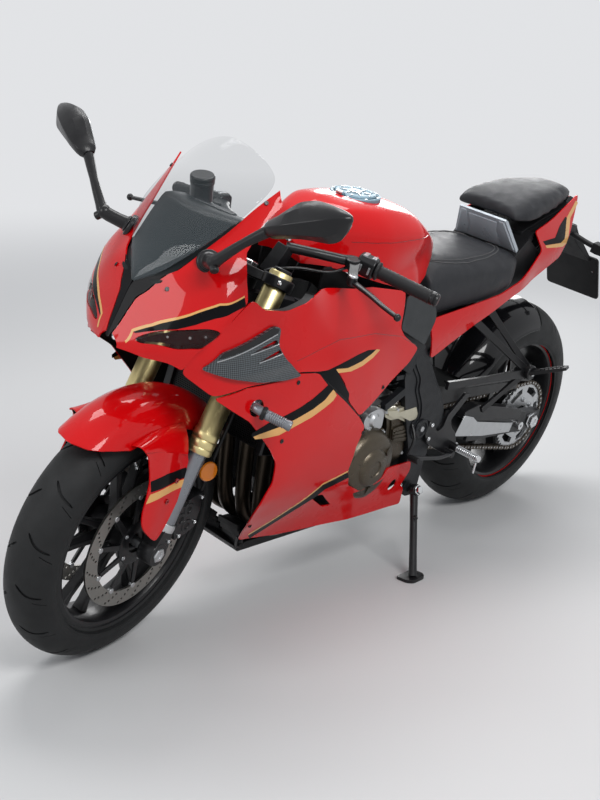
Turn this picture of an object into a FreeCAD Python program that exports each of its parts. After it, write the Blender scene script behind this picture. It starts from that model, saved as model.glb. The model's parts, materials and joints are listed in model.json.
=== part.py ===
import FreeCAD, Part
import math
import os

V = FreeCAD.Vector

# A middleweight four-cylinder sport motorcycle with a full fairing, in millimetres. It leans
# to the left on its side stand, with the bars turned to the left. Each piece is first made on
# the upright, straight bike: X forward, Y to the left, Z up, origin on the ground midway
# between the axles. At the end the steered pieces are turned, and the whole bike is leaned.

# Stance
WHEELBASE = 1420.0
LEAN = 9.0
STEER = 9.0
RAKE = 24.5
FORK_OFFSET = 35.0
PARK_SHIFT_X = 22.0
PARK_SHIFT_Y = -172.0

# Gap at pins and seats
FIT = 0.3

# Wheels and tyres
FRONT_RADIUS = 300.0
FRONT_HALF_WIDTH = 60.0
REAR_RADIUS = 315.0
REAR_HALF_WIDTH = 90.0
BEAD_RADIUS = 216.0
BEAD_INSET = 13.0
FRONT_RIM_HALF = 46.0
REAR_RIM_HALF = 72.0
RIM_WALL = 12.0
RIM_STEP = 8.0
SPOKE_PAIRS = 5
AXLE_RADIUS = 12.0
FRONT_HUB_HALF = 56.0
REAR_HUB_HALF = 74.0
HUB_RADIUS = 38.0
FRONT_AXLE_HALF = 130.0
REAR_AXLE_HALF = 164.0

# Front fender: crown angles ahead of the vertical, and the blade beside each leg
FENDER_FRONT = 35.0
FENDER_SPAN = 74.0
BLADE_Y = 136.0
BLADE_FLARE = 0.11
BLADE_EDGE = [(190, 214), (142, 161), (129, 110), (126, 71), (101, 52), (48, 34), (28, 87),
              (24, 163), (36, 229)]

HUGGER_SPAN = 66.0
HUGGER_START = -4.0

# Brakes
DISC_RADIUS = 155.0
DISC_BAND = 36.0
DISC_THICKNESS = 5.0
REAR_DISC_RADIUS = 110.0
CARRIER_THICKNESS = 4.0

# Fork, along the leg from the front axle
LEG_Y = 105.0
SLIDER_RADIUS = 21.0
TUBE_RADIUS = 26.0
TUBE_START = 235.0
TUBE_END = 655.0
LOWER_CLAMP = 478.0
UPPER_CLAMP = 632.0
CLAMP_THICKNESS = 22.0
STEM_RADIUS = 16.0
BAR_RADIUS = 11.0
GRIP_RADIUS = 17.0
HEAD_TUBE_RADIUS = 32.0

# Chain line
CHAIN_Y = 106.0
CHAIN_HALF_WIDTH = 8.0
REAR_SPROCKET_RADIUS = 102.0
FRONT_SPROCKET_RADIUS = 34.0
FRONT_SPROCKET_X = -78.0
FRONT_SPROCKET_Z = 398.0

# Swingarm pivot
PIVOT_X = -163.0
PIVOT_Z = 409.0
PIVOT_RADIUS = 12.0

# Fairing skins
SKIN = 4.0
VANE_THICKNESS = 8.0

# Side stand
STAND_PIVOT = (-165.0, 158.0, 234.0)
STAND_FOOT_X = -96.0
STAND_FOOT_Y = 262.0
STAND_TILT = 25.5
STAND_PIN_RADIUS = 6.0
STAND_EYE_RADIUS = 16.0
STAND_EYE_DEPTH = 20.0


# Helpers

def wire(points):
    """Closed polygon through (x, y, z) points."""
    ring = [V(*p) for p in points]
    return Part.makePolygon(ring + [ring[0]])


def side_prism(outline, y_from, y_to):
    """Solid between two values of y with an (x, z) outline."""
    face = Part.Face(wire([(x, y_from, z) for x, z in outline]))
    return face.extrude(V(0, y_to - y_from, 0))


def box(x0, x1, y0, y1, z0, z1):
    return Part.makeBox(x1 - x0, y1 - y0, z1 - z0, V(x0, y0, z0))


def rod(start, end, radius, end_radius=None):
    """Round bar between two points, tapered where an end radius is given."""
    a, b = V(*start), V(*end)
    if end_radius is None or abs(end_radius - radius) < 1e-6:
        return Part.makeCylinder(radius, (b - a).Length, a, b - a)
    return Part.makeCone(radius, end_radius, (b - a).Length, a, b - a)


def beam(start, end, size_start, size_end, up=(0, 0, 1)):
    """Bar of rectangular section; a size is (across, along up)."""
    a, b = V(*start), V(*end)
    along = (b - a).normalize()
    across = along.cross(V(*up)).normalize()
    height = across.cross(along).normalize()
    rings = []
    for point, (w, h) in ((a, size_start), (b, size_end)):
        corners = [point + across * (i * w / 2) + height * (j * h / 2)
                   for i, j in ((-1, -1), (1, -1), (1, 1), (-1, 1))]
        rings.append(Part.makePolygon(corners + [corners[0]]))
    return Part.makeLoft(rings, True, True)


def tube_path(points, radius, bend):
    """Round bar along straight runs joined by tangent arcs of one bend radius."""
    pts = [V(*p) for p in points]
    pieces = []
    last = pts[0]
    for i in range(1, len(pts) - 1):
        d_in = (pts[i] - pts[i - 1]).normalize()
        d_out = (pts[i + 1] - pts[i]).normalize()
        turn = d_in.getAngle(d_out)
        p_in = pts[i] - d_in * (bend * math.tan(turn / 2))
        centre = pts[i] + (d_out - d_in).normalize() * (bend / math.cos(turn / 2))
        disc = Part.Face(Part.Wire(Part.makeCircle(radius, p_in, d_in)))
        pieces.append(Part.makeCylinder(radius, (p_in - last).Length, last, d_in))
        pieces.append(disc.revolve(centre, d_in.cross(d_out), math.degrees(turn)))
        last = pts[i] + d_out * (bend * math.tan(turn / 2))
    pieces.append(Part.makeCylinder(radius, (pts[-1] - last).Length, last, pts[-1] - last))
    return pieces[0].multiFuse(pieces[1:])


def ring_y(r_in, r_out, y0, y1):
    """Flat ring about the Y axis."""
    outer = Part.makeCylinder(r_out, y1 - y0, V(0, y0, 0), V(0, 1, 0))
    return outer.cut(Part.makeCylinder(r_in, y1 - y0, V(0, y0, 0), V(0, 1, 0)))


def turn_y(profile, angle=360):
    """Revolve closed (y, r) points about the Y axis."""
    face = Part.Face(wire([(0, y, r) for y, r in profile]))
    return face.revolve(V(0, 0, 0), V(0, 1, 0), angle)


def both_sides(shape):
    return [shape, mirrored(shape)]


def mirrored(shape):
    return shape.mirror(V(0, 0, 0), V(0, 1, 0))


def moved(shape, x=0, y=0, z=0):
    copy = shape.copy()
    copy.translate(V(x, y, z))
    return copy


def turned(shape, angle, axis, centre=(0, 0, 0)):
    copy = shape.copy()
    copy.rotate(V(*centre), V(*axis), angle)
    return copy


def fused(first, *others):
    return first.multiFuse(list(others)).removeSplitter()


def crown_section(x, top, shoulder, flank, low):
    """Closed section: an arc over the top, then straight flanks and a flat bottom."""
    (sy, sz), (fy, fz), (ly, lz) = shoulder, flank, low
    points = [V(x, sy, sz), V(x, fy, fz), V(x, ly, lz),
              V(x, -ly, lz), V(x, -fy, fz), V(x, -sy, sz)]
    lines = [Part.LineSegment(points[i], points[i + 1]).toShape() for i in range(5)]
    arc = Part.Arc(points[5], V(x, 0, top), points[0]).toShape()
    return Part.Wire([arc] + lines)


def inward(points, offset):
    """Offset an open (y, z) polyline towards the centre line of the bike."""
    shifted = []
    for i, (y, z) in enumerate(points):
        y0, z0 = points[max(i - 1, 0)]
        y1, z1 = points[min(i + 1, len(points) - 1)]
        dy, dz = y1 - y0, z1 - z0
        length = math.hypot(dy, dz)
        shifted.append((y + offset * dz / length, z - offset * dy / length))
    return shifted


def skin(stations, outside, inside):
    """Left-hand shell through stations (x, polyline from top to bottom)."""
    rings = []
    for x, line in stations:
        outer = inward(line, outside)
        inner = inward(line, inside)
        rings.append(wire([(x, y, z) for y, z in outer + inner[::-1]]))
    return Part.makeLoft(rings, True, True)


# Wheels, each about its own axle at the origin

def tyre(radius, half_width):
    """Tyre with a round crown whose widest circle is one half-width below the tread."""
    widest = radius - half_width
    bead_y = half_width - BEAD_INSET
    crown = Part.Arc(V(0, -half_width, widest), V(0, 0, radius), V(0, half_width, widest))
    points = [V(0, half_width, widest), V(0, bead_y, BEAD_RADIUS),
              V(0, -bead_y, BEAD_RADIUS), V(0, -half_width, widest)]
    lines = [Part.LineSegment(points[i], points[i + 1]).toShape() for i in range(3)]
    face = Part.Face(Part.Wire([crown.toShape()] + lines))
    return face.revolve(V(0, 0, 0), V(0, 1, 0), 360)


def cast_rim(rim_half, hub_half, spoke_half):
    """Cast wheel: barrel, hub with its axle bore, and spokes in V-shaped pairs."""
    outer = BEAD_RADIUS - FIT
    ledge = outer - RIM_WALL
    well = ledge - RIM_STEP
    barrel = turn_y([(-rim_half, outer), (rim_half, outer), (rim_half, ledge),
                     (rim_half - RIM_STEP * 2, well), (RIM_STEP * 2 - rim_half, well),
                     (-rim_half, ledge)])
    hub = Part.makeCylinder(HUB_RADIUS, 2 * hub_half, V(0, -hub_half, 0), V(0, 1, 0))
    spokes = []
    for i in range(SPOKE_PAIRS):
        middle = i * 360 / SPOKE_PAIRS + 90
        for side in (-1, 1):
            inner = math.radians(middle + side * 17)
            outer_end = math.radians(middle + side * 13)
            start = (26 * math.cos(inner), 0, 26 * math.sin(inner))
            end = ((well + 4) * math.cos(outer_end), 0, (well + 4) * math.sin(outer_end))
            spokes.append(beam(start, end, (spoke_half * 1.6, 24), (spoke_half, 17),
                               (math.sin(inner), 0, -math.cos(inner))))
    bore = Part.makeCylinder(AXLE_RADIUS + FIT, 2 * hub_half, V(0, -hub_half, 0), V(0, 1, 0))
    return barrel.multiFuse([hub] + spokes).cut(bore)


def brake_disc(radius, hub_half, side):
    """Disc band on a spoked carrier that seats on the hub's face."""
    y0 = hub_half
    band = ring_y(radius - DISC_BAND, radius, y0 + 1, y0 + 1 + DISC_THICKNESS)
    carrier = ring_y(AXLE_RADIUS + 14, HUB_RADIUS + 14, y0, y0 + CARRIER_THICKNESS)
    arms = []
    for i in range(8):
        angle = math.radians(i * 45)
        reach = radius - DISC_BAND + 5
        arms.append(beam((44 * math.cos(angle), y0 + CARRIER_THICKNESS / 2, 44 * math.sin(angle)),
                         (reach * math.cos(angle + 0.25), y0 + CARRIER_THICKNESS / 2,
                          reach * math.sin(angle + 0.25)),
                         (14, CARRIER_THICKNESS), (12, CARRIER_THICKNESS), (0, 1, 0)))
    disc = fused(band, carrier, *arms)
    return disc if side > 0 else mirrored(disc)


def rear_sprocket():
    """Toothed disc on its carrier."""
    y0 = CHAIN_Y - 4
    plate = ring_y(60, REAR_SPROCKET_RADIUS - 8, y0, y0 + 8)
    carrier = ring_y(AXLE_RADIUS + 14, 66, REAR_HUB_HALF, y0 + 6)
    return fused(plate, carrier)


def chain():
    """Closed loop of chain around both sprockets."""
    dx = WHEELBASE / 2 + FRONT_SPROCKET_X
    dz = FRONT_SPROCKET_Z - rear_axle_height()
    length = math.hypot(dx, dz)
    slope = math.atan2(dz, dx)
    loops = []
    for grow in (7, -7):
        points = []
        for (cx, cz, r, sign) in ((-WHEELBASE / 2, rear_axle_height(), REAR_SPROCKET_RADIUS, 1),
                                  (FRONT_SPROCKET_X, FRONT_SPROCKET_Z, FRONT_SPROCKET_RADIUS, -1)):
            points.append((cx, cz, r + grow, sign))
        (x0, z0, r0, _), (x1, z1, r1, _) = points
        up = slope + math.acos((r0 - r1) / length)
        down = slope - math.acos((r0 - r1) / length)
        rear_up = V(x0 + r0 * math.cos(up), 0, z0 + r0 * math.sin(up))
        rear_down = V(x0 + r0 * math.cos(down), 0, z0 + r0 * math.sin(down))
        rear_mid = V(x0 - r0 * math.cos(slope), 0, z0 - r0 * math.sin(slope))
        front_up = V(x1 + r1 * math.cos(up), 0, z1 + r1 * math.sin(up))
        front_down = V(x1 + r1 * math.cos(down), 0, z1 + r1 * math.sin(down))
        front_mid = V(x1 + r1 * math.cos(slope), 0, z1 + r1 * math.sin(slope))
        loops.append(Part.Wire([Part.LineSegment(rear_up, front_up).toShape(),
                                Part.Arc(front_up, front_mid, front_down).toShape(),
                                Part.LineSegment(front_down, rear_down).toShape(),
                                Part.Arc(rear_down, rear_mid, rear_up).toShape()]))
    outer = Part.Face(loops[0]).extrude(V(0, 2 * CHAIN_HALF_WIDTH, 0))
    inner = Part.Face(loops[1]).extrude(V(0, 2 * CHAIN_HALF_WIDTH, 0))
    return moved(outer.cut(inner), y=CHAIN_Y - CHAIN_HALF_WIDTH)


# Heights that follow from the lean and the steering

def rear_axle_height():
    crown = REAR_HALF_WIDTH
    return REAR_RADIUS - crown + crown / math.cos(math.radians(LEAN))


def steering_axis():
    """Ground point and upward direction of the steering axis on the upright bike."""
    rake = math.radians(RAKE)
    direction = V(-math.sin(rake), 0, math.cos(rake))
    forward = V(math.cos(rake), 0, math.sin(rake))
    nominal = V(WHEELBASE / 2, 0, FRONT_RADIUS)
    on_axis = nominal - forward * FORK_OFFSET
    return on_axis, direction


def front_axle_height():
    """Axle height that puts the turned and leaned front tyre on the ground."""
    on_axis, direction = steering_axis()
    turn = FreeCAD.Rotation(direction, STEER)
    lean = FreeCAD.Rotation(V(1, 0, 0), -LEAN)
    nominal = V(WHEELBASE / 2, 0, FRONT_RADIUS)
    centre = lean.multVec(on_axis + turn.multVec(nominal - on_axis))
    axle = lean.multVec(turn.multVec(V(0, 1, 0)))
    ring = (FRONT_RADIUS - FRONT_HALF_WIDTH) * math.sqrt(1 - axle.z ** 2)
    gap = centre.z - ring - FRONT_HALF_WIDTH
    return FRONT_RADIUS - gap / math.cos(math.radians(LEAN))


FRONT_AXLE = V(WHEELBASE / 2, 0, front_axle_height())
REAR_AXLE = V(-WHEELBASE / 2, 0, rear_axle_height())
RAKE_DIRECTION = steering_axis()[1]
STEER_POINT = FRONT_AXLE - V(math.cos(math.radians(RAKE)), 0,
                             math.sin(math.radians(RAKE))) * FORK_OFFSET


def from_fork(shape):
    """From the leg's frame (X across it, Z up it, origin at the axle) to the upright bike."""
    copy = shape.copy()
    copy.rotate(V(0, 0, 0), V(0, 1, 0), -RAKE)
    copy.translate(FRONT_AXLE)
    return copy


def fork_point(across, y, along):
    """Point of the upright bike from the leg's frame."""
    rake = math.radians(RAKE)
    return (FRONT_AXLE.x + across * math.cos(rake) - along * math.sin(rake), y,
            FRONT_AXLE.z + across * math.sin(rake) + along * math.cos(rake))


# Steering group, in the leg's frame

def fork_sliders():
    """Silver lower legs with their feet, and the axle through both."""
    parts = []
    for y in (LEG_Y, -LEG_Y):
        leg = rod((0, y, 30), (0, y, TUBE_START), SLIDER_RADIUS)
        foot = Part.makeCylinder(27, 40, V(0, y - 20, 0), V(0, 1, 0))
        neck = box(-17, 17, y - 18, y + 18, 0, 60)
        parts += [leg, foot, neck]
    axle = Part.makeCylinder(AXLE_RADIUS, 2 * FRONT_AXLE_HALF, V(0, -FRONT_AXLE_HALF, 0), V(0, 1, 0))
    return fused(axle, *parts)


def fork_tubes():
    """Gold upper tubes with a collar at the seal and a cap at the top."""
    legs = []
    for y in (LEG_Y, -LEG_Y):
        tube = rod((0, y, TUBE_START), (0, y, TUBE_END), TUBE_RADIUS)
        collar = rod((0, y, TUBE_START + 2), (0, y, TUBE_START + 50), TUBE_RADIUS + 3)
        cap = rod((0, y, TUBE_END), (0, y, TUBE_END + 8), TUBE_RADIUS - 6)
        legs.append(fused(tube, collar, cap))
    return Part.makeCompound(legs)


def triple_clamps():
    """Both fork clamps and the steering stem between them."""
    plates = []
    for along in (LOWER_CLAMP, UPPER_CLAMP):
        arms = [beam((-FORK_OFFSET, 0, along), (0, y, along), (70, CLAMP_THICKNESS),
                     (52, CLAMP_THICKNESS)) for y in (LEG_Y, -LEG_Y)]
        eyes = [rod((0, y, along - CLAMP_THICKNESS / 2), (0, y, along + CLAMP_THICKNESS / 2),
                    TUBE_RADIUS + 9) for y in (LEG_Y, -LEG_Y)]
        hub = rod((-FORK_OFFSET, 0, along - CLAMP_THICKNESS / 2),
                  (-FORK_OFFSET, 0, along + CLAMP_THICKNESS / 2), 38)
        plates.append(fused(hub, *arms, *eyes))
    stem = rod((-FORK_OFFSET, 0, LOWER_CLAMP), (-FORK_OFFSET, 0, UPPER_CLAMP + 24), STEM_RADIUS)
    body = fused(stem, *plates)
    for y in (LEG_Y, -LEG_Y):
        body = body.cut(rod((0, y, LOWER_CLAMP - 30), (0, y, UPPER_CLAMP + 30), TUBE_RADIUS + FIT))
    return body


def handlebars():
    """Two raised bars on blocks over the upper clamp, with grips and end weights."""
    base = UPPER_CLAMP + CLAMP_THICKNESS / 2
    bars = []
    for side in (1, -1):
        foot = fork_point(-26, side * 58, base)
        crook = (384, side * 66, 931)
        shoulder = (340, side * 130, 930)
        hand = V(276, side * 200, 924)
        tip = V(234, side * 356, 900)
        post = beam(foot, crook, (30, 34), (30, 30), (0, side, 0))
        bar = tube_path([crook, shoulder, tuple(hand), tuple(tip)], BAR_RADIUS, 60)
        grip = rod(hand + (tip - hand) * 0.2, tip, GRIP_RADIUS)
        weight = rod(tip, tip + (tip - hand) * 0.12, 15, 13)
        bars.append(fused(post, bar, grip, weight))
    return Part.makeCompound(bars)


def control_levers():
    """Switch boxes, clutch and brake levers on their perches, and the brake reservoir."""
    parts = []
    for side in (1, -1):
        pod = box(-18, 18, -17, 17, -20, 22)
        pod = moved(turned(pod, 14, (0, 0, 1)), x=270, y=216, z=920)
        perch = beam((292, 186, 926), (346, 224, 904), (26, 24), (24, 20))
        lever = tube_path([(342, 220, 903), (356, 262, 900), (380, 320, 896), (396, 376, 892)], 6, 18)
        knob = Part.makeSphere(8, V(396, 376, 892))
        pieces = [fused(perch, lever, knob, pod)]
        if side < 0:
            tank = rod((452, 128, 976), (462, 128, 1036), 26)
            bracket = beam((366, 104, 930), (452, 126, 982), (14, 12), (16, 12))
            pieces.append(fused(tank, bracket))
        parts += pieces if side > 0 else [mirrored(p) for p in pieces]
    return Part.makeCompound(parts)


def arched(line, span, start):
    """Guard about the axle from the left half (y, r) of its section."""
    inner = [(y - (SKIN - 1) * (y > 30), r - SKIN + 1) for y, r in line]
    whole = [(-y, r) for y, r in line[:0:-1]] + line
    whole += inner[::-1] + [(-y, r) for y, r in inner[1:]]
    return turned(turn_y(whole, span), start, (0, 1, 0))


def front_fender():
    """Arched guard over the tyre with a pointed front, and a flared side with its blade."""
    crown = FRONT_RADIUS + 40
    line = [(0, crown), (40, crown - 8), (64, crown - 30), (75, crown - 66)]
    arch = at_front(arched(line, FENDER_SPAN, FENDER_FRONT - FENDER_SPAN))
    plan = [(-310, -90), (116, -78), (178, -40), (198, 0), (178, 40), (116, 78), (-310, 90)]
    plan = Part.Face(wire([(FRONT_AXLE.x + x, y, 0) for x, y in plan]))
    arch = arch.common(plan.extrude(V(0, 0, 900)))
    sides = []
    for side in (1, -1):
        outline = [fork_point(across, side * (BLADE_Y - BLADE_FLARE * along), along)
                   for across, along in BLADE_EDGE]
        blade = Part.Face(wire(outline)).extrude(V(0, -side * (SKIN - 1), 0))
        low = [V(*fork_point(across, side * (BLADE_Y - BLADE_FLARE * along), along))
               for across, along in ((36, 226), (189, 212))]
        high = [V(FRONT_AXLE.x + x, side * 75, FRONT_AXLE.z + FRONT_RADIUS - 33) for x in (-70, 76)]
        inset = V(0, -side * 2, 1 - SKIN)
        rings = [wire([a, b, b + inset, a + inset]) for a, b in (low, high)]
        sides += [blade, Part.makeLoft(rings, True, True)]
    return fused(arch, *sides)


def front_calipers():
    """Radial calipers behind the legs, each on its mounting ears."""
    parts = []
    for side in (1, -1):
        block = side_prism([(-146, 62), (-92, 24), (-52, 66), (-66, 112), (-118, 146)], 44, 92)
        relief = Part.makeCylinder(DISC_RADIUS + 5, 16, V(0, FRONT_HUB_HALF - 4, 0), V(0, 1, 0))
        body = block.cut(relief)
        ears = [beam((-70, 86, 50), (-16, LEG_Y, 66), (14, 16), (14, 18), (0, 1, 0)),
                beam((-84, 86, 112), (-16, LEG_Y, 118), (14, 16), (14, 18), (0, 1, 0))]
        body = fused(body, *ears)
        body = body.cut(rod((0, LEG_Y, -40), (0, LEG_Y, 300), SLIDER_RADIUS + FIT))
        parts.append(body if side > 0 else mirrored(body))
    return Part.makeCompound(parts)


# Frame, engine and the rest of what is fixed

def head_middle():
    return fork_point(-FORK_OFFSET, 0, (LOWER_CLAMP + UPPER_CLAMP) / 2)


def main_frame():
    """Head tube, two spars and the pivot plates, joined by cross tubes."""
    low = fork_point(-FORK_OFFSET, 0, LOWER_CLAMP + CLAMP_THICKNESS / 2 + 2)
    high = fork_point(-FORK_OFFSET, 0, UPPER_CLAMP - CLAMP_THICKNESS / 2 - 2)
    head = rod(low, high, HEAD_TUBE_RADIUS)
    pieces = [head]
    head_x, _, head_z = head_middle()
    for side in (1, -1):
        spar = [(head_x, 20, head_z), (364, 98, 776), (60, 141, 700), (-70, 145, 620)]
        points = [(x, side * y, z) for x, y, z in spar]
        sizes = [(26, 74), (28, 84), (26, 84), (26, 80)]
        for i in range(3):
            pieces.append(beam(points[i], points[i + 1], sizes[i], sizes[i + 1]))
        plate = side_prism([(-30, 664), (-92, 668), (-130, 600), (-152, 500), (-196, 430),
                            (-206, 330), (-168, 262), (-128, 268), (-120, 360), (-70, 480),
                            (-40, 570)], 130, 152)
        pieces.append(plate if side > 0 else mirrored(plate))
    pieces.append(side_prism([(-204, 330), (-196, 232), (-178, 214), (-152, 216), (-142, 236),
                              (-146, 330)], 130, 150))
    pivot, axis = stand_axis()
    pieces.append(Part.makeCylinder(STAND_PIN_RADIUS, STAND_EYE_DEPTH + 14, pivot - axis * 12, axis))
    pieces.append(Part.makeCylinder(STAND_PIN_RADIUS + 4, 6, pivot + axis * (STAND_EYE_DEPTH + 1), axis))
    pieces.append(rod((-170, -140, 300), (-170, 140, 300), 16))
    pieces.append(rod((-84, -140, 600), (-84, 140, 600), 14))
    body = fused(*pieces)
    stem = rod(fork_point(-FORK_OFFSET, 0, LOWER_CLAMP), fork_point(-FORK_OFFSET, 0, UPPER_CLAMP),
               STEM_RADIUS + FIT)
    return body.cut(stem)


def subframe():
    """Seat rails behind the main frame."""
    parts = []
    for side in (1, -1):
        rail = tube_path([(-84, side * 112, 650), (-300, side * 104, 706), (-480, side * 88, 768),
                          (-640, side * 68, 838)], 13, 60)
        stay = rod((-120, side * 112, 560), (-400, side * 95, 738), 11)
        foot = rod((-120, side * 104, 560), (-120, side * 130, 560), 12)
        top_foot = rod((-84, side * 104, 650), (-84, side * 130, 650), 13)
        parts += [rail, stay, foot, top_foot]
    cross = [rod((x, -y, z), (x, y, z), 10) for x, y, z in ((-300, 100, 706), (-480, 86, 768))]
    return fused(*parts, *cross)


def engine_block():
    """Crankcase and tilted cylinder block as plain prisms."""
    case = side_prism([(-150, 250), (-60, 226), (210, 226), (262, 300), (262, 420), (150, 470),
                       (20, 500), (-96, 500), (-112, 380)], -124, 124)
    cylinders = side_prism([(70, 440), (230, 400), (334, 600), (320, 668), (190, 690)], -168, 168)
    cylinders = cylinders.common(box(0, 400, -128, 128, 300, 720))
    pocket = box(-160, -24, 92, 130, 335, 505)
    sprocket = rod((FRONT_SPROCKET_X, 80, FRONT_SPROCKET_Z),
                   (FRONT_SPROCKET_X, CHAIN_Y + 4, FRONT_SPROCKET_Z), FRONT_SPROCKET_RADIUS - 8)
    return fused(fused(case, cylinders).cut(pocket), sprocket)


def engine_covers():
    """Alternator, sprocket and starter covers on the left, clutch and ignition on the right."""
    lid = rod((57, 124, 364), (57, 178, 364), 92, 84)
    boss = rod((57, 178, 364), (57, 190, 364), 46, 40)
    sprocket = side_prism([(-118, 340), (-20, 330), (-6, 420), (-20, 500), (-92, 500), (-118, 430)],
                          125, 140)
    top = side_prism([(-30, 420), (70, 440), (80, 500), (20, 520), (-30, 505)], 124, 158)
    clutch = rod((-8, -124, 372), (-8, -182, 372), 98, 90)
    ignition = rod((150, -124, 350), (150, -170, 350), 62, 56)
    left, right = fused(lid, boss, top, sprocket), fused(clutch, ignition)
    room = skin(side_stations(3, 13), -60, SKIN + 6).common(side_prism(LOWER_EDGE, 0, 320))
    return Part.makeCompound([left.cut(room), right.cut(mirrored(room))])


def radiator():
    """Curved core with side tanks, ahead of the cylinders."""
    core = box(408, 440, -150, 150, 490, 700)
    core = turned(core, -12, (0, 1, 0), (424, 0, 600))
    tanks = [turned(box(404, 444, s * 150 if s > 0 else -172, 172 if s > 0 else -150, 486, 704),
                    -12, (0, 1, 0), (424, 0, 600)) for s in (1, -1)]
    return fused(core, *tanks)


def exhaust_system():
    """Four pipes down from the head, a flat collector under the engine, and a short can."""
    pipes = []
    for y, end_y in ((96, 62), (34, 21), (-34, -21), (-96, -62)):
        pipes.append(tube_path([(318, y, 590), (366, y, 560), (352, y * 0.95, 330),
                                (280, y * 0.75, 202), (110, end_y, 196)], 19, 42))
    collector = beam((130, 0, 196), (-40, -20, 198), (170, 44), (90, 56))
    link = tube_path([(-30, -20, 198), (-90, -40, 200), (-160, -112, 204), (-230, -152, 212)], 26, 50)
    can = beam((-200, -148, 208), (-430, -212, 280), (80, 90), (90, 104))
    tip = beam((-430, -212, 280), (-448, -217, 286), (60, 66), (58, 62))
    return fused(collector, link, can, tip, *pipes)


# Body panels. A station is (x, left-half polyline of (y, z) from the top down).

NOSE_STATIONS = [
    (794, [(0, 753), (5, 751), (8, 748), (8, 744), (5, 740)]),
    (770, [(0, 806), (32, 790), (62, 765), (70, 750), (66, 734)]),
    (740, [(0, 868), (62, 840), (117, 802), (128, 765), (121, 730)]),
    (700, [(74, 910), (126, 878), (160, 840), (179, 800), (170, 715)]),
    (650, [(98, 958), (150, 928), (192, 880), (203, 830), (206, 690)]),
    (600, [(117, 1003), (156, 972), (186, 934), (206, 880), (213, 800)]),
    (560, [(131, 1043), (152, 1024), (172, 996), (198, 940), (210, 880)]),
    (512, [(150, 1086), (158, 1072), (176, 1040), (190, 1000), (203, 940)]),
]

# Levels of the side panels and the half-width of the body at each, station by station
SIDE_LEVELS = (900, 840, 760, 700, 600, 520, 450, 400, 350, 300, 260, 225, 186)
SIDE_WIDTHS = [
    (722, (80, 117, 150, 139, 130, 128, 126, 124, 120, 110, 100, 90, 76)),
    (670, (168, 194, 198, 199, 198, 192, 190, 186, 170, 142, 116, 96, 76)),
    (600, (204, 209, 215, 220, 226, 220, 216, 208, 182, 150, 120, 98, 76)),
    (500, (208, 212, 221, 228, 234, 233, 223, 212, 184, 152, 122, 98, 76)),
    (440, (204, 212, 223, 231, 236, 235, 226, 210, 182, 150, 121, 97, 76)),
    (340, (150, 192, 218, 230, 235, 232, 222, 208, 184, 153, 127, 106, 86)),
    (200, (130, 174, 200, 212, 220, 220, 214, 204, 188, 164, 145, 130, 114)),
    (60, (120, 154, 179, 187, 195, 200, 200, 195, 186, 174, 160, 150, 141)),
    (-60, (120, 144, 166, 172, 178, 180, 182, 178, 172, 165, 158, 151, 145)),
    (-165, (120, 140, 157, 160, 163, 168, 168, 165, 160, 155, 150, 148, 145)),
]

COWL_EDGE = [(800, 700), (800, 747), (764, 742), (733, 745), (716, 728), (704, 775), (668, 822),
             (642, 851), (611, 880), (609, 920), (595, 968), (566, 1006), (512, 1060),
             (506, 1100), (600, 1120), (800, 900), (830, 700)]
CENTRE_WEDGE = [(0, 700), (7, 752), (30, 806), (52, 846), (86, 910), (0, 960)]
HEADLIGHT_EDGE = [(771, 781), (738, 807), (696, 824), (671, 815), (696, 780), (742, 775)]
SIDE_EDGE = [(613, 876), (644, 848), (670, 820), (706, 773), (718, 727), (671, 686), (595, 703),
             (500, 704), (453, 713), (390, 703), (334, 699), (294, 656), (266, 606), (206, 555),
             (147, 580), (86, 607), (5, 638), (-29, 667), (44, 712), (66, 736), (44, 816),
             (182, 846), (250, 852), (312, 862), (372, 871), (417, 868), (444, 857), (502, 848),
             (570, 860), (598, 882)]
LOWER_EDGE = [(667, 683), (595, 700), (500, 701), (453, 710), (391, 700), (353, 664), (282, 612),
              (201, 549), (174, 518), (190, 472), (188, 402), (151, 344), (87, 306), (6, 320),
              (-5, 347), (-127, 330), (-138, 300), (-112, 260), (-134, 246), (-140, 195),
              (-77, 201), (131, 212), (297, 210), (414, 229), (445, 288), (471, 343), (486, 385),
              (483, 419), (474, 453), (484, 508), (509, 545), (580, 623), (629, 655)]
VANE_EDGE = [(700, 744), (668, 782), (542, 827), (523, 820), (526, 784), (503, 751), (453, 707),
             (498, 703), (570, 709), (654, 729)]
VENT_EDGE = [(290, 350), (243, 344), (170, 284), (198, 284)]


def side_stations(first, last):
    """Stations of the side surface between two of its levels."""
    return [(x, list(zip(widths, SIDE_LEVELS))[first:last]) for x, widths in SIDE_WIDTHS]


def nose_cowl():
    """Red upper fairing around the screen, one shell for each side of the centre strip."""
    half = skin(NOSE_STATIONS, 0, SKIN).common(side_prism(COWL_EDGE, 0, 260))
    wedge = Part.Face(wire([(450, y, z) for y, z in CENTRE_WEDGE])).extrude(V(400, 0, 0))
    lens = side_prism(HEADLIGHT_EDGE, 10, 260)
    half = half.cut(wedge).cut(lens)
    return Part.makeCompound(both_sides(half))


def nose_panel():
    """Black centre strip from the nose's tip up to the screen."""
    inner = [(y - 1 if y else 0, z) for y, z in CENTRE_WEDGE]
    wedge = Part.Face(wire([(450, y, z) for y, z in inner])).extrude(V(400, 0, 0))
    half = skin(NOSE_STATIONS, 0, SKIN).common(wedge)
    return fused(half, mirrored(half))


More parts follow.
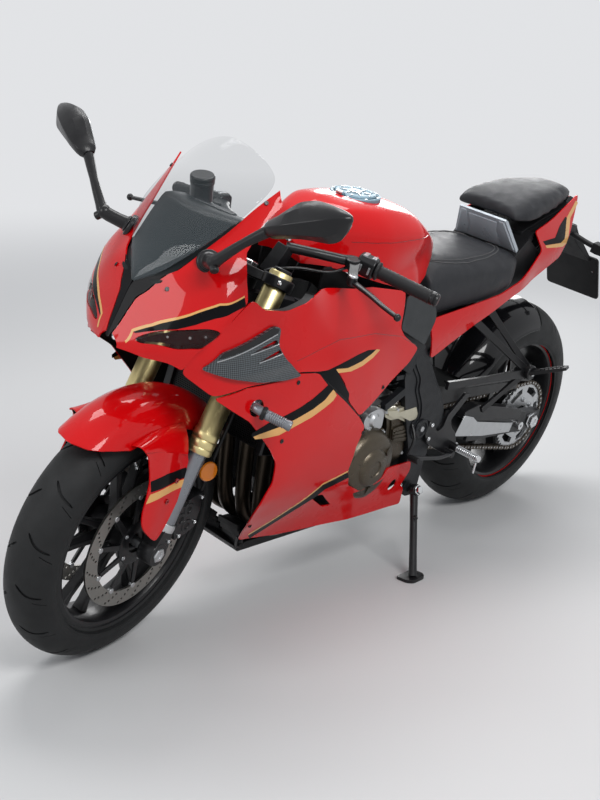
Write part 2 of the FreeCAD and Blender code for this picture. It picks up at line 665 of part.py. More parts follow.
def headlights():
    """Clear lens of each headlight with the lamp body behind it."""
    points = [(x + (1 if x < 700 else -1), z + (1 if z < 790 else -1)) for x, z in HEADLIGHT_EDGE]
    lens = skin(NOSE_STATIONS, 0, SKIN).common(side_prism(points, 10, 260))
    lens = max(lens.Solids, key=lambda solid: solid.Volume)
    body = beam((748, 66, 792), (690, 120, 802), (50, 20), (90, 30))
    body = body.cut(skin(NOSE_STATIONS, -30, SKIN + FIT))
    return Part.makeCompound(both_sides(lens) + both_sides(body))


def side_fairing():
    panel = skin(side_stations(0, 6), 0, SKIN)
    return panel.common(side_prism(SIDE_EDGE, 0, 320))


def lower_fairing():
    panel = skin(side_stations(3, 13), 0, SKIN)
    panel = panel.common(side_prism(LOWER_EDGE, 0, 320)).cut(side_prism(VENT_EDGE, 0, 320))
    bobbin_hole = rod((572, 200, 658), (560, 262, 646), 17)
    bolt_hole = rod((-68, 120, 276), (-68, 220, 276), 17)
    return panel.cut(bobbin_hole).cut(bolt_hole)


def side_vane():
    """Raised winglet plate on the side panel."""
    plate = skin(side_stations(1, 5), -VANE_THICKNESS, -FIT)
    return plate.common(side_prism(VANE_EDGE, 0, 320))


def chin_spoiler():
    """Black chin between the tips of the lower panels, with a floor under the pipes."""
    parts = [side_prism([(372, 168), (384, 184), (60, 164), (60, 152)], -64, 64)]
    for side in (1, -1):
        parts.append(beam((412, side * 95, 254), (382, 0, 232), (8, 62), (8, 62)))
        parts.append(beam((380, side * 30, 176), (384, side * 24, 214), (30, 8), (30, 8), (1, 0, 0)))
    return fused(*parts)


def windscreen():
    """Bubble screen: arcs from edge to edge at rising levels."""
    # height, half-width, x at the edge, x at the centre
    rows = [(880, 58, 728, 738), (930, 86, 682, 706), (990, 112, 614, 666), (1050, 136, 552, 626),
            (1084, 140, 526, 598), (1116, 112, 524, 574), (1138, 76, 528, 556), (1148, 34, 532, 542)]
    shells = []
    for grow in (0, -3):
        rings = []
        for z, half, edge, centre in rows:
            arc = Part.Arc(V(edge + grow, -half, z + grow / 3), V(centre + grow, 0, z + grow / 3),
                           V(edge + grow, half, z + grow / 3)).toShape()
            chord = Part.LineSegment(V(edge + grow, half, z + grow / 3),
                                     V(edge + grow, -half, z + grow / 3)).toShape()
            rings.append(Part.Wire([arc, chord]))
        shells.append(Part.makeLoft(rings, True, True))
    blade = shells[0].cut(shells[1])
    return max(blade.Solids, key=lambda s: s.Volume)


def fairing_stay():
    """Bracket from the head tube that carries the dash, the lamps and the mirrors."""
    head_x, _, head_z = head_middle()
    spine = beam((head_x + 22, 0, head_z + 51), (700, 0, 842), (60, 30), (44, 24))
    dash_post = beam((556, 0, 850), (556, 0, 940), (40, 20), (60, 20), (1, 0, 0))
    dash = moved(turned(box(-9, 9, -78, 78, -44, 44), 42, (0, 1, 0)), x=560, z=962)
    mirror_arms = [beam((640, s * 20, 842), (660, s * 106, 918), (18, 18), (18, 18)) for s in (1, -1)]
    lamp_arms = [beam((690, s * 10, 836), (704, s * 100, 806), (20, 16), (20, 16)) for s in (1, -1)]
    return fused(spine, dash_post, dash, *mirror_arms, *lamp_arms)


def mirrors():
    """Stalk with a foot and an elbow, and a pointed head, on each side."""
    # distance along the head, half-depth, half-height
    head = [(0, 7, 10), (30, 17, 31), (95, 24, 43), (140, 20, 36), (166, 9, 14)]
    root, tip = V(660, 266, 1052), V(620, 428, 1118)
    along = (tip - root).normalize()
    depth = V(1, 0.3, 0.1)
    depth = (depth - along * depth.dot(along)).normalize()
    rise = along.cross(depth).normalize()
    if rise.z < 0:
        rise = rise * -1
    rings = []
    for s, d, h in head:
        centre = root + along * s
        corners = [centre + rise * h * 0.7 - depth * d, centre + rise * h + depth * d * 0.2,
                   centre + rise * h * 0.3 + depth * d, centre - rise * h * 0.6 + depth * d * 0.8,
                   centre - rise * h + depth * d * 0.1, centre - rise * h * 0.8 - depth * d]
        rings.append(Part.makePolygon(corners + [corners[0]]))
    shell = Part.makeLoft(rings, True, True)
    stalk = fused(rod((656, 118, 932), (687, 167, 960), 13, 11), Part.makeSphere(13, V(687, 167, 960)),
                  rod((687, 167, 960), tuple(root + along * 8), 11, 8), shell)
    foot = beam((636, 118, 946), (680, 118, 920), (30, 12), (30, 12))
    left = fused(stalk, foot).cut(skin(NOSE_STATIONS, 0, 60))
    return Part.makeCompound(both_sides(left))


TANK_STATIONS = [
    # x, top, shoulder, flank, low edge
    (322, 930, (40, 924), (58, 906), (66, 884)),
    (272, 986, (60, 976), (84, 946), (88, 880)),
    (200, 1012, (78, 1000), (112, 950), (117, 862)),
    (92, 1004, (90, 994), (136, 940), (140, 830)),
    (-20, 986, (84, 974), (128, 932), (136, 802)),
    (-90, 960, (64, 944), (104, 914), (112, 812)),
    (-150, 928, (44, 912), (72, 888), (80, 832)),
    (-212, 888, (18, 882), (30, 870), (34, 852)),
]
CAP_X = 92
CAP_FLOOR = 990
CAP_RING_RADIUS = 58
CAP_RING_HEIGHT = 12
CAP_THROAT = 40
LID_RADIUS = 53
LID_THICKNESS = 9
HINGE_X = CAP_X + LID_RADIUS + 4
HINGE_Z = CAP_FLOOR + CAP_RING_HEIGHT + FIT + LID_THICKNESS + 3
HINGE_PIN_RADIUS = 2.5
HINGE_KNUCKLE_RADIUS = 4.5
HINGE_KNUCKLE_HALF = 9
HINGE_EAR = 4


def tank_body(grow):
    rings = [crown_section(x, top + grow, (sy + grow, sz + grow), (fy + grow, fz),
                           (ly + grow, lz - grow))
             for x, top, (sy, sz), (fy, fz), (ly, lz) in TANK_STATIONS]
    return Part.makeLoft(rings, True, True)


def fuel_tank():
    """Tank shell with the filler dish, its raised ring and the ears of the cap's hinge."""
    pocket = Part.makeCylinder(CAP_RING_RADIUS, 60, V(CAP_X, 0, CAP_FLOOR))
    ring = Part.makeCylinder(CAP_RING_RADIUS, CAP_RING_HEIGHT, V(CAP_X, 0, CAP_FLOOR))
    dish = Part.makeCylinder(CAP_THROAT, 2 * CAP_RING_HEIGHT, V(CAP_X, 0, CAP_FLOOR - 12))
    near, far = HINGE_KNUCKLE_HALF + FIT, HINGE_KNUCKLE_HALF + FIT + HINGE_EAR
    hinge = [rod((HINGE_X, -far, HINGE_Z), (HINGE_X, far, HINGE_Z), HINGE_PIN_RADIUS)]
    for side in (1, -1):
        hinge.append(rod((HINGE_X, side * near, HINGE_Z), (HINGE_X, side * far, HINGE_Z),
                         HINGE_KNUCKLE_RADIUS))
        hinge.append(box(HINGE_X - 2, HINGE_X + HINGE_KNUCKLE_RADIUS, min(side * near, side * far),
                         max(side * near, side * far), CAP_FLOOR + CAP_RING_HEIGHT - 2, HINGE_Z))
    return fused(tank_body(0).cut(pocket), ring, *hinge).cut(dish)


def fuel_cap():
    """Round lid with the knuckle of its hinge at the front."""
    z = CAP_FLOOR + CAP_RING_HEIGHT + FIT
    lid = Part.makeCylinder(LID_RADIUS, LID_THICKNESS, V(CAP_X, 0, z))
    half = HINGE_KNUCKLE_HALF
    knuckle = rod((HINGE_X, -half, HINGE_Z), (HINGE_X, half, HINGE_Z), HINGE_KNUCKLE_RADIUS)
    tongue = box(CAP_X + LID_RADIUS - 6, HINGE_X - 1, -half, half, z + 4, z + LID_THICKNESS)
    bore = rod((HINGE_X, -half, HINGE_Z), (HINGE_X, half, HINGE_Z), HINGE_PIN_RADIUS + FIT)
    return fused(lid, knuckle, tongue).cut(bore)


def tank_side_covers():
    """Grey knee panels between the tank and the seat."""
    outline = [(66, 732), (42, 804), (-40, 812), (-92, 752), (-96, 728), (-57, 668)]
    plate = skin(side_stations(0, 6), -2, SKIN).common(side_prism(outline, 0, 300))
    return Part.makeCompound(both_sides(plate))


def rider_seat():
    rings = [crown_section(x, top, shoulder, flank, low) for x, top, shoulder, flank, low in [
        (-98, 838, (70, 830), (128, 800), (146, 728)),
        (-200, 852, (84, 846), (136, 808), (148, 734)),
        (-330, 846, (100, 842), (144, 806), (150, 748)),
        (-440, 842, (104, 838), (144, 806), (146, 770)),
        (-498, 838, (92, 834), (118, 820), (124, 796))]]
    body = Part.makeLoft(rings, True, True)
    return body.cut(tank_body(2))


def seat_trim():
    """Silver plate that rises from the rider's seat to the passenger's."""
    plate = beam((-500, 0, 836), (-456, 0, 918), (206, 10), (150, 10), (1, 0, 0))
    return plate


def passenger_seat():
    rings = [crown_section(x, top, shoulder, flank, low) for x, top, shoulder, flank, low in [
        (-458, 950, (70, 944), (96, 930), (98, 916)),
        (-520, 970, (84, 962), (112, 940), (114, 914)),
        (-640, 986, (76, 978), (98, 958), (100, 930)),
        (-740, 988, (56, 980), (74, 964), (76, 948)),
        (-806, 974, (34, 970), (46, 962), (48, 956))]]
    return Part.makeLoft(rings, True, True)


TAIL_STATIONS = [
    (-78, [(150, 770), (160, 715), (166, 660), (160, 600)]),
    (-300, [(143, 800), (150, 755), (152, 700), (146, 640)]),
    (-500, [(120, 900), (136, 830), (140, 785), (130, 715)]),
    (-600, [(106, 945), (118, 870), (124, 820), (114, 750)]),
    (-700, [(88, 980), (102, 900), (112, 845), (102, 775)]),
    (-800, [(66, 1000), (86, 930), (94, 870), (86, 790)]),
]
TAIL_EDGE = [(-120, 616), (-84, 724), (-401, 744), (-490, 766), (-590, 836), (-541, 893),
             (-640, 918), (-788, 968), (-730, 796), (-560, 745), (-297, 677)]


def tail_cowl():
    side = skin(TAIL_STATIONS, 0, SKIN).common(side_prism(TAIL_EDGE, 0, 300))
    return Part.makeCompound(both_sides(side))


def tail_tray():
    """Black undertray, seat base sides and light housing between the tail panels."""
    tray = side_prism([(-300, 700), (-560, 764), (-724, 812), (-770, 940), (-640, 904),
                       (-560, 880), (-556, 868), (-620, 874), (-690, 850), (-560, 790),
                       (-300, 716)], -82, 82)
    lamp = side_prism([(-742, 870), (-756, 878), (-806, 950), (-780, 958), (-764, 930)], -56, 56)
    return fused(tray, lamp)


PLATE_CENTRE = (-1010, 0, 692)
PLATE_TILT = 25
PLATE_BOLT_Y = 70
PLATE_HOLE_RADIUS = 3.25


def plate_holder():
    """Arm behind the tail with the number plate board and two winkers."""
    arm = beam((-744, 0, 866), (-912, 0, 838), (84, 30), (64, 26))
    drop = beam((-900, 0, 846), (-978, 0, 745), (60, 26), (130, 16))
    board = box(-3, 3, -92, 92, -74, 74)
    for y in (PLATE_BOLT_Y, -PLATE_BOLT_Y):
        board = board.cut(Part.makeCylinder(PLATE_HOLE_RADIUS, 6, V(-3, y, 20), V(1, 0, 0)))
    board = moved(turned(board, PLATE_TILT, (0, 1, 0)), *PLATE_CENTRE)
    parts = [arm, drop, board]
    for s in (1, -1):
        parts.append(rod((-900, s * 24, 826), (-906, s * 118, 808), 8))
        parts.append(beam((-906, s * 104, 810), (-914, s * 172, 800), (34, 28), (20, 16)))
    return fused(*parts)


# Rear suspension, chain and rests

BOSS_X = REAR_AXLE.x + 70
BOSS_Z = REAR_AXLE.z + 2
BOSS_Y = 149
BOSS_LENGTH = 14
BOSS_RADIUS = 12
BOSS_THREAD_RADIUS = 3.4


def stand_bosses():
    """Threaded bosses on the arms for the hooks of a paddock stand."""
    boss = rod((BOSS_X, BOSS_Y, BOSS_Z), (BOSS_X, BOSS_Y + BOSS_LENGTH, BOSS_Z), BOSS_RADIUS)
    boss = boss.cut(rod((BOSS_X, BOSS_Y, BOSS_Z), (BOSS_X, BOSS_Y + BOSS_LENGTH, BOSS_Z),
                        BOSS_THREAD_RADIUS))
    return Part.makeCompound(both_sides(boss))


def swingarm():
    """Two box arms from the pivot to the axle, joined ahead of the wheel."""
    z_axle = REAR_AXLE.z
    parts = [Part.makeCylinder(30, 210, V(PIVOT_X, -118, PIVOT_Z), V(0, 1, 0)),
             Part.makeCylinder(PIVOT_RADIUS, 260, V(PIVOT_X, -130, PIVOT_Z), V(0, 1, 0))]
    for s in (1, -1):
        inner = 74 if s > 0 else 100
        parts.append(beam((PIVOT_X, s * inner, PIVOT_Z), (-360, s * 80, 368), (34, 60), (34, 70)))
        parts.append(beam((-346, s * 82, 371), (-400, s * 134, 364), (34, 66), (30, 78)))
        parts.append(beam((-394, s * 134, 365), (-668, s * 134, z_axle + 4), (30, 88), (30, 62)))
        parts.append(beam((-660, s * 134, z_axle + 4), (-752, s * 134, z_axle - 2), (30, 62), (30, 50)))
    parts.append(beam((-306, -90, 378), (-306, 90, 378), (56, 62), (56, 62)))
    return fused(rear_axle(), *parts)


def rear_axle():
    """Axle with its nuts and spacers."""
    shaft = Part.makeCylinder(AXLE_RADIUS, 2 * REAR_AXLE_HALF, V(0, -REAR_AXLE_HALF, 0), V(0, 1, 0))
    nuts = [Part.makeCylinder(20, 14, V(0, y, 0), V(0, 1, 0)) for y in (149, -163)]
    spacers = [ring_y(AXLE_RADIUS, 20, y0, y1) for y0, y1 in ((REAR_HUB_HALF + 30, 119),
                                                             (-119, -REAR_HUB_HALF - 16))]
    shape = fused(shaft, *nuts, *spacers)
    return moved(shape, x=REAR_AXLE.x, z=REAR_AXLE.z)


def rear_hugger():
    """Mudguard that follows the front of the rear tyre."""
    crown = REAR_RADIUS + 16
    line = [(0, crown), (56, crown - 12), (88, crown - 40), (99, crown - 70)]
    return at_rear(arched(line, HUGGER_SPAN, HUGGER_START))


def over_chain(x, height):
    """Point of the bike's side at a height above the chain's upper run."""
    rear = REAR_AXLE.z + REAR_SPROCKET_RADIUS + CHAIN_HALF_WIDTH
    front = FRONT_SPROCKET_Z + FRONT_SPROCKET_RADIUS + CHAIN_HALF_WIDTH
    share = (x - REAR_AXLE.x) / (FRONT_SPROCKET_X - REAR_AXLE.x)
    return x, rear + (front - rear) * share + height


def chain_guard():
    """Cover over the chain's upper run, with its stay on the arm."""
    edge = [(-330, 42), (-330, 50), (-600, 30), (-700, 10), (-700, 4), (-600, 22)]
    plate = side_prism([over_chain(x, height) for x, height in edge], CHAIN_Y - 9, CHAIN_Y + 14)
    edge = [(-500, -54), (-520, -54), (-530, 36), (-510, 36)]
    stay = side_prism([over_chain(x, height) for x, height in edge], 116, 119)
    return fused(plate, stay)


def rear_caliper():
    """Caliper over the rear disc, on a bracket along the right arm."""
    block = side_prism([(44, 74), (96, 30), (132, 70), (84, 124)], -110, -62)
    slot = Part.makeCylinder(REAR_DISC_RADIUS + 5, 16, V(0, -REAR_HUB_HALF - 12, 0), V(0, 1, 0))
    bracket = beam((90, -103, 60), (70, -119, 26), (14, 50), (12, 40), (0, 1, 0))
    return at_rear(fused(block, bracket).cut(slot))


def shock_absorber():
    body = rod((-236, 0, 420), (-150, 0, 600), 26)
    spring = rod((-222, 0, 450), (-176, 0, 546), 36)
    return fused(body, spring)


def rearsets():
    """Rest hangers with pegs, heel plates, gear pedal on the left, brake pedal on the right."""
    parts = []
    for s in (1, -1):
        hanger = side_prism([(-176, 440), (-150, 380), (-270, 318), (-320, 322), (-320, 352),
                             (-300, 372), (-330, 470), (-312, 474), (-262, 388)], 157, 165)
        peg = rod((-296, 165, 337), (-288, 262, 340), 13)
        pedal = tube_path([(-276, 180, 324), (-200, 192, 336), (-64, 198, 372)], 6, 16)
        toe = rod((-64, 192, 372), (-64, 230, 374), 8)
        link = rod((-276, 158, 324), (-276, 186, 324), 10)
        side = fused(hanger, peg, pedal, toe, link)
        parts.append(side if s > 0 else mirrored(side))
    return Part.makeCompound(parts)


def passenger_rests():
    """Hangers under the tail with blade-shaped pegs."""
    parts = []
    for s in (1, -1):
        a = beam((-300, 134, 690), (-548, 184, 520), (12, 22), (12, 20), (0, 0, 1))
        b = beam((-372, 130, 708), (-556, 186, 522), (12, 22), (12, 20), (0, 0, 1))
        knot = rod((-556, 176, 514), (-556, 204, 514), 20)
        stay = beam((-206, 168, 530), (-540, 184, 510), (10, 22), (10, 26), (0, 0, 1))
        strut = beam((-540, 184, 506), (-400, 166, 420), (10, 22), (10, 18), (0, 0, 1))
        peg = beam((-556, 200, 516), (-580, 290, 560), (34, 12), (26, 8), (0, 0, 1))
        side = fused(a, b, knot, stay, strut, peg)
        parts.append(side if s > 0 else mirrored(side))
    return Part.makeCompound(parts)


def crash_bobbins():
    """Round sliders on arms that pass through the lower panels."""
    parts = []
    for s in (1, -1):
        pin = tube_path([(440, 160, 640), (576, 216, 658), (560, 262, 646)], 11, 16)
        puck = rod((566, 250, 649), (536, 300, 635), 17, 15)
        side = fused(pin, puck)
        parts.append(side if s > 0 else mirrored(side))
    return Part.makeCompound(parts)


# Side stand

def stand_axis():
    """Pivot point and outward direction of the side stand's pin."""
    tilt = math.radians(STAND_TILT)
    return V(*STAND_PIVOT), V(0, math.cos(tilt), math.sin(tilt))


def side_stand():
    """Leg with its eye at the pivot and a flat foot that rests on the ground."""
    pivot, axis = stand_axis()
    lean = math.radians(LEAN)
    ground = V(STAND_FOOT_X, STAND_FOOT_Y, STAND_FOOT_Y * math.tan(lean))
    ankle = ground + V(0, math.sin(lean), math.cos(lean)) * 7.5
    leg = rod(pivot + axis * (STAND_EYE_DEPTH / 2 - 2), ankle, 10, 11)
    eye = Part.makeCylinder(STAND_EYE_RADIUS, STAND_EYE_DEPTH, pivot, axis)
    foot = turned(box(-34, 34, -26, 24, 0, 9), LEAN, (1, 0, 0))
    bore = Part.makeCylinder(STAND_PIN_RADIUS + FIT, 2 * STAND_EYE_DEPTH,
                             pivot - axis * (STAND_EYE_DEPTH / 2), axis)
    return fused(leg, eye, moved(foot, *ground)).cut(bore)


# Placing and export

def steered(shape):
    return turned(shape, STEER, tuple(RAKE_DIRECTION), tuple(STEER_POINT))


def parked(shape):
    copy = turned(shape, -LEAN, (1, 0, 0))
    copy.translate(V(PARK_SHIFT_X, PARK_SHIFT_Y, 0))
    return copy


def at_front(shape):
    return moved(shape, x=FRONT_AXLE.x, z=FRONT_AXLE.z)


def at_rear(shape):
    return moved(shape, x=REAR_AXLE.x, z=REAR_AXLE.z)


def pieces():
    """Every node as (name, solid on the upright bike, turns with the bars)."""
    discs = Part.makeCompound([brake_disc(DISC_RADIUS, FRONT_HUB_HALF, s) for s in (1, -1)])
    return [
        ("main_frame", main_frame(), False),
        ("subframe", subframe(), False),
        ("engine_block", engine_block(), False),
        ("engine_covers", engine_covers(), False),
        ("radiator", radiator(), False),
        ("exhaust_system", exhaust_system(), False),
        ("nose_cowl", nose_cowl(), False),
        ("nose_panel", nose_panel(), False),
        ("headlights", headlights(), False),
        ("windscreen", windscreen(), False),
        ("fairing_stay", fairing_stay(), False),
        ("mirrors", mirrors(), False),
        ("side_fairings", Part.makeCompound(both_sides(side_fairing())), False),
        ("lower_fairings", Part.makeCompound(both_sides(lower_fairing())), False),
        ("side_vanes", Part.makeCompound(both_sides(side_vane())), False),
        ("chin_spoiler", chin_spoiler(), False),
        ("fuel_tank", fuel_tank(), False),
        ("fuel_cap", fuel_cap(), False),
        ("tank_side_covers", tank_side_covers(), False),
        ("rider_seat", rider_seat(), False),
        ("seat_trim", seat_trim(), False),
        ("passenger_seat", passenger_seat(), False),
        ("tail_cowl", tail_cowl(), False),
        ("tail_tray", tail_tray(), False),
        ("plate_holder", plate_holder(), False),
        ("swingarm", swingarm(), False),
        ("stand_bosses", stand_bosses(), False),
        ("rear_hugger", rear_hugger(), False),
        ("chain_guard", chain_guard(), False),
        ("drive_chain", chain(), False),
        ("rear_caliper", rear_caliper(), False),
        ("shock_absorber", shock_absorber(), False),
        ("rearsets", rearsets(), False),
        ("passenger_rests", passenger_rests(), False),
        ("crash_bobbins", crash_bobbins(), False),
        ("side_stand", side_stand(), False),
        ("rear_tyre", at_rear(tyre(REAR_RADIUS, REAR_HALF_WIDTH)), False),
        ("rear_rim", at_rear(cast_rim(REAR_RIM_HALF, REAR_HUB_HALF, 30)), False),
        ("rear_disc", at_rear(brake_disc(REAR_DISC_RADIUS, REAR_HUB_HALF, -1)), False),
        ("rear_sprocket", at_rear(rear_sprocket()), False),
        ("fork_sliders", from_fork(fork_sliders()), True),
        ("fork_tubes", from_fork(fork_tubes()), True),
        ("triple_clamps", from_fork(triple_clamps()), True),
        ("handlebars", handlebars(), True),
        ("control_levers", control_levers(), True),
        ("front_fender", front_fender(), True),
        ("front_calipers", from_fork(front_calipers()), True),
        ("front_tyre", at_front(tyre(FRONT_RADIUS, FRONT_HALF_WIDTH)), True),
        ("front_rim", at_front(cast_rim(FRONT_RIM_HALF, FRONT_HUB_HALF, 24)), True),
        ("front_discs", at_front(discs), True),
    ]


# Pieces that are cut back where they seat on others of the same body
TRIMS = {
    "main_frame": ("lower_fairings", "tail_cowl"),
    "engine_block": ("main_frame", "lower_fairings"),
    "engine_covers": ("engine_block", "main_frame"),
    "exhaust_system": ("engine_block", "lower_fairings"),
    "rider_seat": ("subframe", "fuel_tank", "tank_side_covers"),
    "tail_tray": ("subframe", "passenger_seat", "tail_cowl", "rider_seat"),
    "plate_holder": ("tail_tray",),
    "seat_trim": ("rider_seat", "passenger_seat", "subframe"),
    "fairing_stay": ("headlights", "nose_cowl", "main_frame"),
    "headlights": ("nose_cowl", "side_fairings"),
    "side_fairings": ("nose_cowl",),
    "tank_side_covers": ("side_fairings",),
    "windscreen": ("nose_cowl",),
    "chin_spoiler": ("lower_fairings",),
    "crash_bobbins": ("radiator",),
    "chain_guard": ("rear_hugger",),
    "rear_caliper": ("swingarm",),
    "passenger_rests": ("tail_cowl", "subframe"),
    "control_levers": ("handlebars",),
    "handlebars": ("triple_clamps",),
}

# Smallest solid, in cubic millimetres, that trimming may leave
LEAST_VOLUME = 60.0

os.makedirs("parts", exist_ok=True)
made = {name: (shape, turns) for name, shape, turns in pieces()}
for name, (shape, turns) in made.items():
    seats = [made[other][0] for other in TRIMS.get(name, ())]
    if seats:
        kept = [solid for solid in shape.cut(seats).Solids if solid.Volume > LEAST_VOLUME]
        shape = Part.makeCompound(kept)
    placed = parked(steered(shape) if turns else shape)
    placed.exportStep(os.path.join("parts", name + ".step"))
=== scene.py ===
import json
from math import acos, atan2, ceil, copysign, cos, pi, radians, sin, sqrt, tan

import bpy
import numpy as np
from mathutils import Matrix, Vector
from mathutils.bvhtree import BVHTree
from mathutils.geometry import delaunay_2d_cdt


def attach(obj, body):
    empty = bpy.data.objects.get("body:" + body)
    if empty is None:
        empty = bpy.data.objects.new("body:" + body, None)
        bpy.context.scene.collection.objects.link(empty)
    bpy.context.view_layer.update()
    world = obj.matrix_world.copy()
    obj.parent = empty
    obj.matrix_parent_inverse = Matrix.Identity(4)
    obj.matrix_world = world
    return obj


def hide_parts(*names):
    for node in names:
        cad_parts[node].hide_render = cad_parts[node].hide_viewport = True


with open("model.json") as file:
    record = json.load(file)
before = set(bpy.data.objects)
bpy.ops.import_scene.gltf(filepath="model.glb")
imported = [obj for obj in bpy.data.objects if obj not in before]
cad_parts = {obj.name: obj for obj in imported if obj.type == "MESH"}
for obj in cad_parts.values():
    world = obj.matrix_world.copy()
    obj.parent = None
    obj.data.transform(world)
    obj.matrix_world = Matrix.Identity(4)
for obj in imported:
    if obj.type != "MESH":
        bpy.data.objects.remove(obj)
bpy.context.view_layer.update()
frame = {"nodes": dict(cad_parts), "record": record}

# A whole turn, and the two directions most parts are set along
TURN = 2 * pi
TOP, LEFT = (0, 0, 1), (0, 1, 0)

# Stance, in millimetres and radians, on the upright bike with straight bars
LEAN = radians(9)
STEER = radians(9)
RAKE = radians(24.5)
FRONT_R, FRONT_HALF = 300, 60
REAR_R, REAR_HALF = 315, 90
BEAD_R = 216
REAR_X = -710
REAR_Z = REAR_R - REAR_HALF + REAR_HALF / cos(LEAN)
FORK_OFFSET = 35

joints = {j["name"]: j for j in frame["record"]["behaviour"]["joints"]}


def joint_at(name):
    return Vector(joints[name]["pos_m"])


lean_turn = Matrix.Rotation(-LEAN, 4, "X")
shift = joint_at("rear_wheel_spin") - lean_turn @ (Vector((REAR_X, 0, REAR_Z)) / 1000)
UP = Matrix.Translation(shift) @ lean_turn @ Matrix.Scale(0.001, 4)
steer_point = UP.inverted() @ joint_at("steering_turn")
front_axle = steer_point + Vector((cos(RAKE), 0, sin(RAKE))) * FORK_OFFSET
rake_line = Vector((-sin(RAKE), 0, cos(RAKE)))
STEERED = (UP @ Matrix.Translation(steer_point) @ Matrix.Rotation(STEER, 4, rake_line)
           @ Matrix.Translation(-steer_point))
FRONT_WHEEL = STEERED @ Matrix.Translation(front_axle)
FORK = FRONT_WHEEL @ Matrix.Rotation(-RAKE, 4, "Y")
REAR_WHEEL = UP @ Matrix.Translation((REAR_X, 0, REAR_Z))


# Camera, floor and light

def camera():
    yaw, pitch, roll = -2.4070955, 0.2947893, 0.0474400
    focal_px, long_side_px, sensor = 1245.005, 800, 36
    place = Vector((2.30956, 2.01822, 1.36757)) + Vector((shift.x, shift.y, 0))
    ahead = Vector((cos(yaw) * cos(pitch), sin(yaw) * cos(pitch), -sin(pitch)))
    right = ahead.cross(Vector(TOP)).normalized()
    up = right.cross(ahead)
    right_rolled = right * cos(roll) + up * sin(roll)
    up_rolled = up * cos(roll) - right * sin(roll)
    data = bpy.data.cameras.new("camera")
    data.sensor_width = sensor
    data.lens = focal_px / long_side_px * sensor
    data.clip_end = 200
    cam = bpy.data.objects.new("camera", data)
    turn = Matrix((right_rolled, up_rolled, -ahead)).transposed().to_4x4()
    cam.matrix_world = Matrix.Translation(place) @ turn
    bpy.context.collection.objects.link(cam)
    bpy.context.scene.camera = cam


def lamp(name, place, aim, size, power):
    data = bpy.data.lights.new(name, "AREA")
    data.shape = "RECTANGLE"
    data.size, data.size_y = size
    data.energy = power
    obj = bpy.data.objects.new(name, data)
    line = Vector(aim) - Vector(place)
    obj.matrix_world = Matrix.Translation(place) @ line.to_track_quat("-Z", "Y").to_matrix().to_4x4()
    bpy.context.collection.objects.link(obj)


class Nodes:
    """Short calls for the node tree of a material or a world."""

    def __init__(self, owner):
        owner.use_nodes = True
        self.tree = owner.node_tree

    def feed(self, made, inputs):
        """Each input gets a number, a colour or the output it is linked to."""
        for key, value in inputs.items():
            if isinstance(value, bpy.types.NodeSocket):
                self.tree.links.new(value, made.inputs[key])
            else:
                made.inputs[key].default_value = value

    def node(self, kind, inputs={}, out=None, **values):
        """A new node, or its output called out."""
        made = self.tree.nodes.new(kind)
        for key, value in values.items():
            setattr(made, key, value)
        self.feed(made, inputs)
        return made if out is None else made.outputs[out]

    def math(self, kind, a, b):
        return self.node("ShaderNodeMath", {0: a, 1: b}, "Value", operation=kind)

    def pale_rays(self):
        """1 for the rays that see the background: from the camera, off gloss and through glass."""
        path = self.node("ShaderNodeLightPath")
        seen = path.outputs["Is Camera Ray"]
        for other in ("Is Glossy Ray", "Is Transmission Ray"):
            seen = self.math("MAXIMUM", seen, path.outputs[other])
        return seen


BACKDROP = (0.76, 0.77, 0.79, 1)
FLOOR_COLOUR = (0.62, 0.62, 0.62, 1)
FADE_FROM, FADE_TO = 1.6, 6.5
FLOOR_REACH = 60


def floor_paint():
    """Matt pale grey that fades into the backdrop's colour far from the bike."""
    mat = bpy.data.materials.new("floor_paint")
    net = Nodes(mat)
    shader = net.tree.nodes["Principled BSDF"]
    net.feed(shader, {"Base Color": FLOOR_COLOUR, "Roughness": 0.9, "Specular IOR Level": 0.1})
    glow = net.node("ShaderNodeEmission", {"Color": BACKDROP}, "Emission")
    far = net.node("ShaderNodeVectorMath", {0: net.node("ShaderNodeTexCoord", {}, "Object")}, "Value",
                   operation="LENGTH")
    fade = net.node("ShaderNodeMapRange", {"From Min": FADE_FROM, "From Max": FADE_TO, "Value": far},
                    "Result", interpolation_type="SMOOTHSTEP")
    both = net.math("MULTIPLY", fade, net.pale_rays())
    mix = net.node("ShaderNodeMixShader", {"Fac": both, 1: shader.outputs["BSDF"], 2: glow}, "Shader")
    net.feed(net.tree.nodes["Material Output"], {"Surface": mix})
    return mat


def stage():
    floor = bpy.data.meshes.new("floor")
    corners = [(x * FLOOR_REACH, y * FLOOR_REACH, 0) for x, y in ((-1, -1), (1, -1), (1, 1), (-1, 1))]
    floor.from_pydata(corners, [], [(0, 1, 2, 3)])
    obj = bpy.data.objects.new("floor", floor)
    bpy.context.collection.objects.link(obj)
    floor.materials.append(floor_paint())
    world = bpy.data.worlds.new("studio")
    bpy.context.scene.world = world
    net = Nodes(world)
    sky = net.tree.nodes["Background"]
    net.feed(sky, {"Color": (0.88, 0.93, 1.0, 1), "Strength": 0.36})
    seen = net.node("ShaderNodeBackground", {"Color": BACKDROP}, "Background")
    mix = net.node("ShaderNodeMixShader", {"Fac": net.pale_rays(), 1: sky.outputs["Background"], 2: seen},
                   "Shader")
    net.feed(net.tree.nodes["World Output"], {"Surface": mix})
    lamp("key", (1.2, 3.2, 3.4), (0.1, 0, 0.5), (2.2, 1.2), 105)
    lamp("fill", (3.8, -0.6, 2.2), (0.2, 0, 0.5), (1.6, 1.6), 34)
    lamp("top", (-0.6, -0.8, 3.6), (0, 0, 0.4), (3.0, 1.0), 75)
    lamp("back", (-3.2, -2.0, 1.9), (0, 0, 0.6), (1.6, 1.2), 36)
    bpy.context.scene.view_settings.view_transform = "Standard"


# Materials

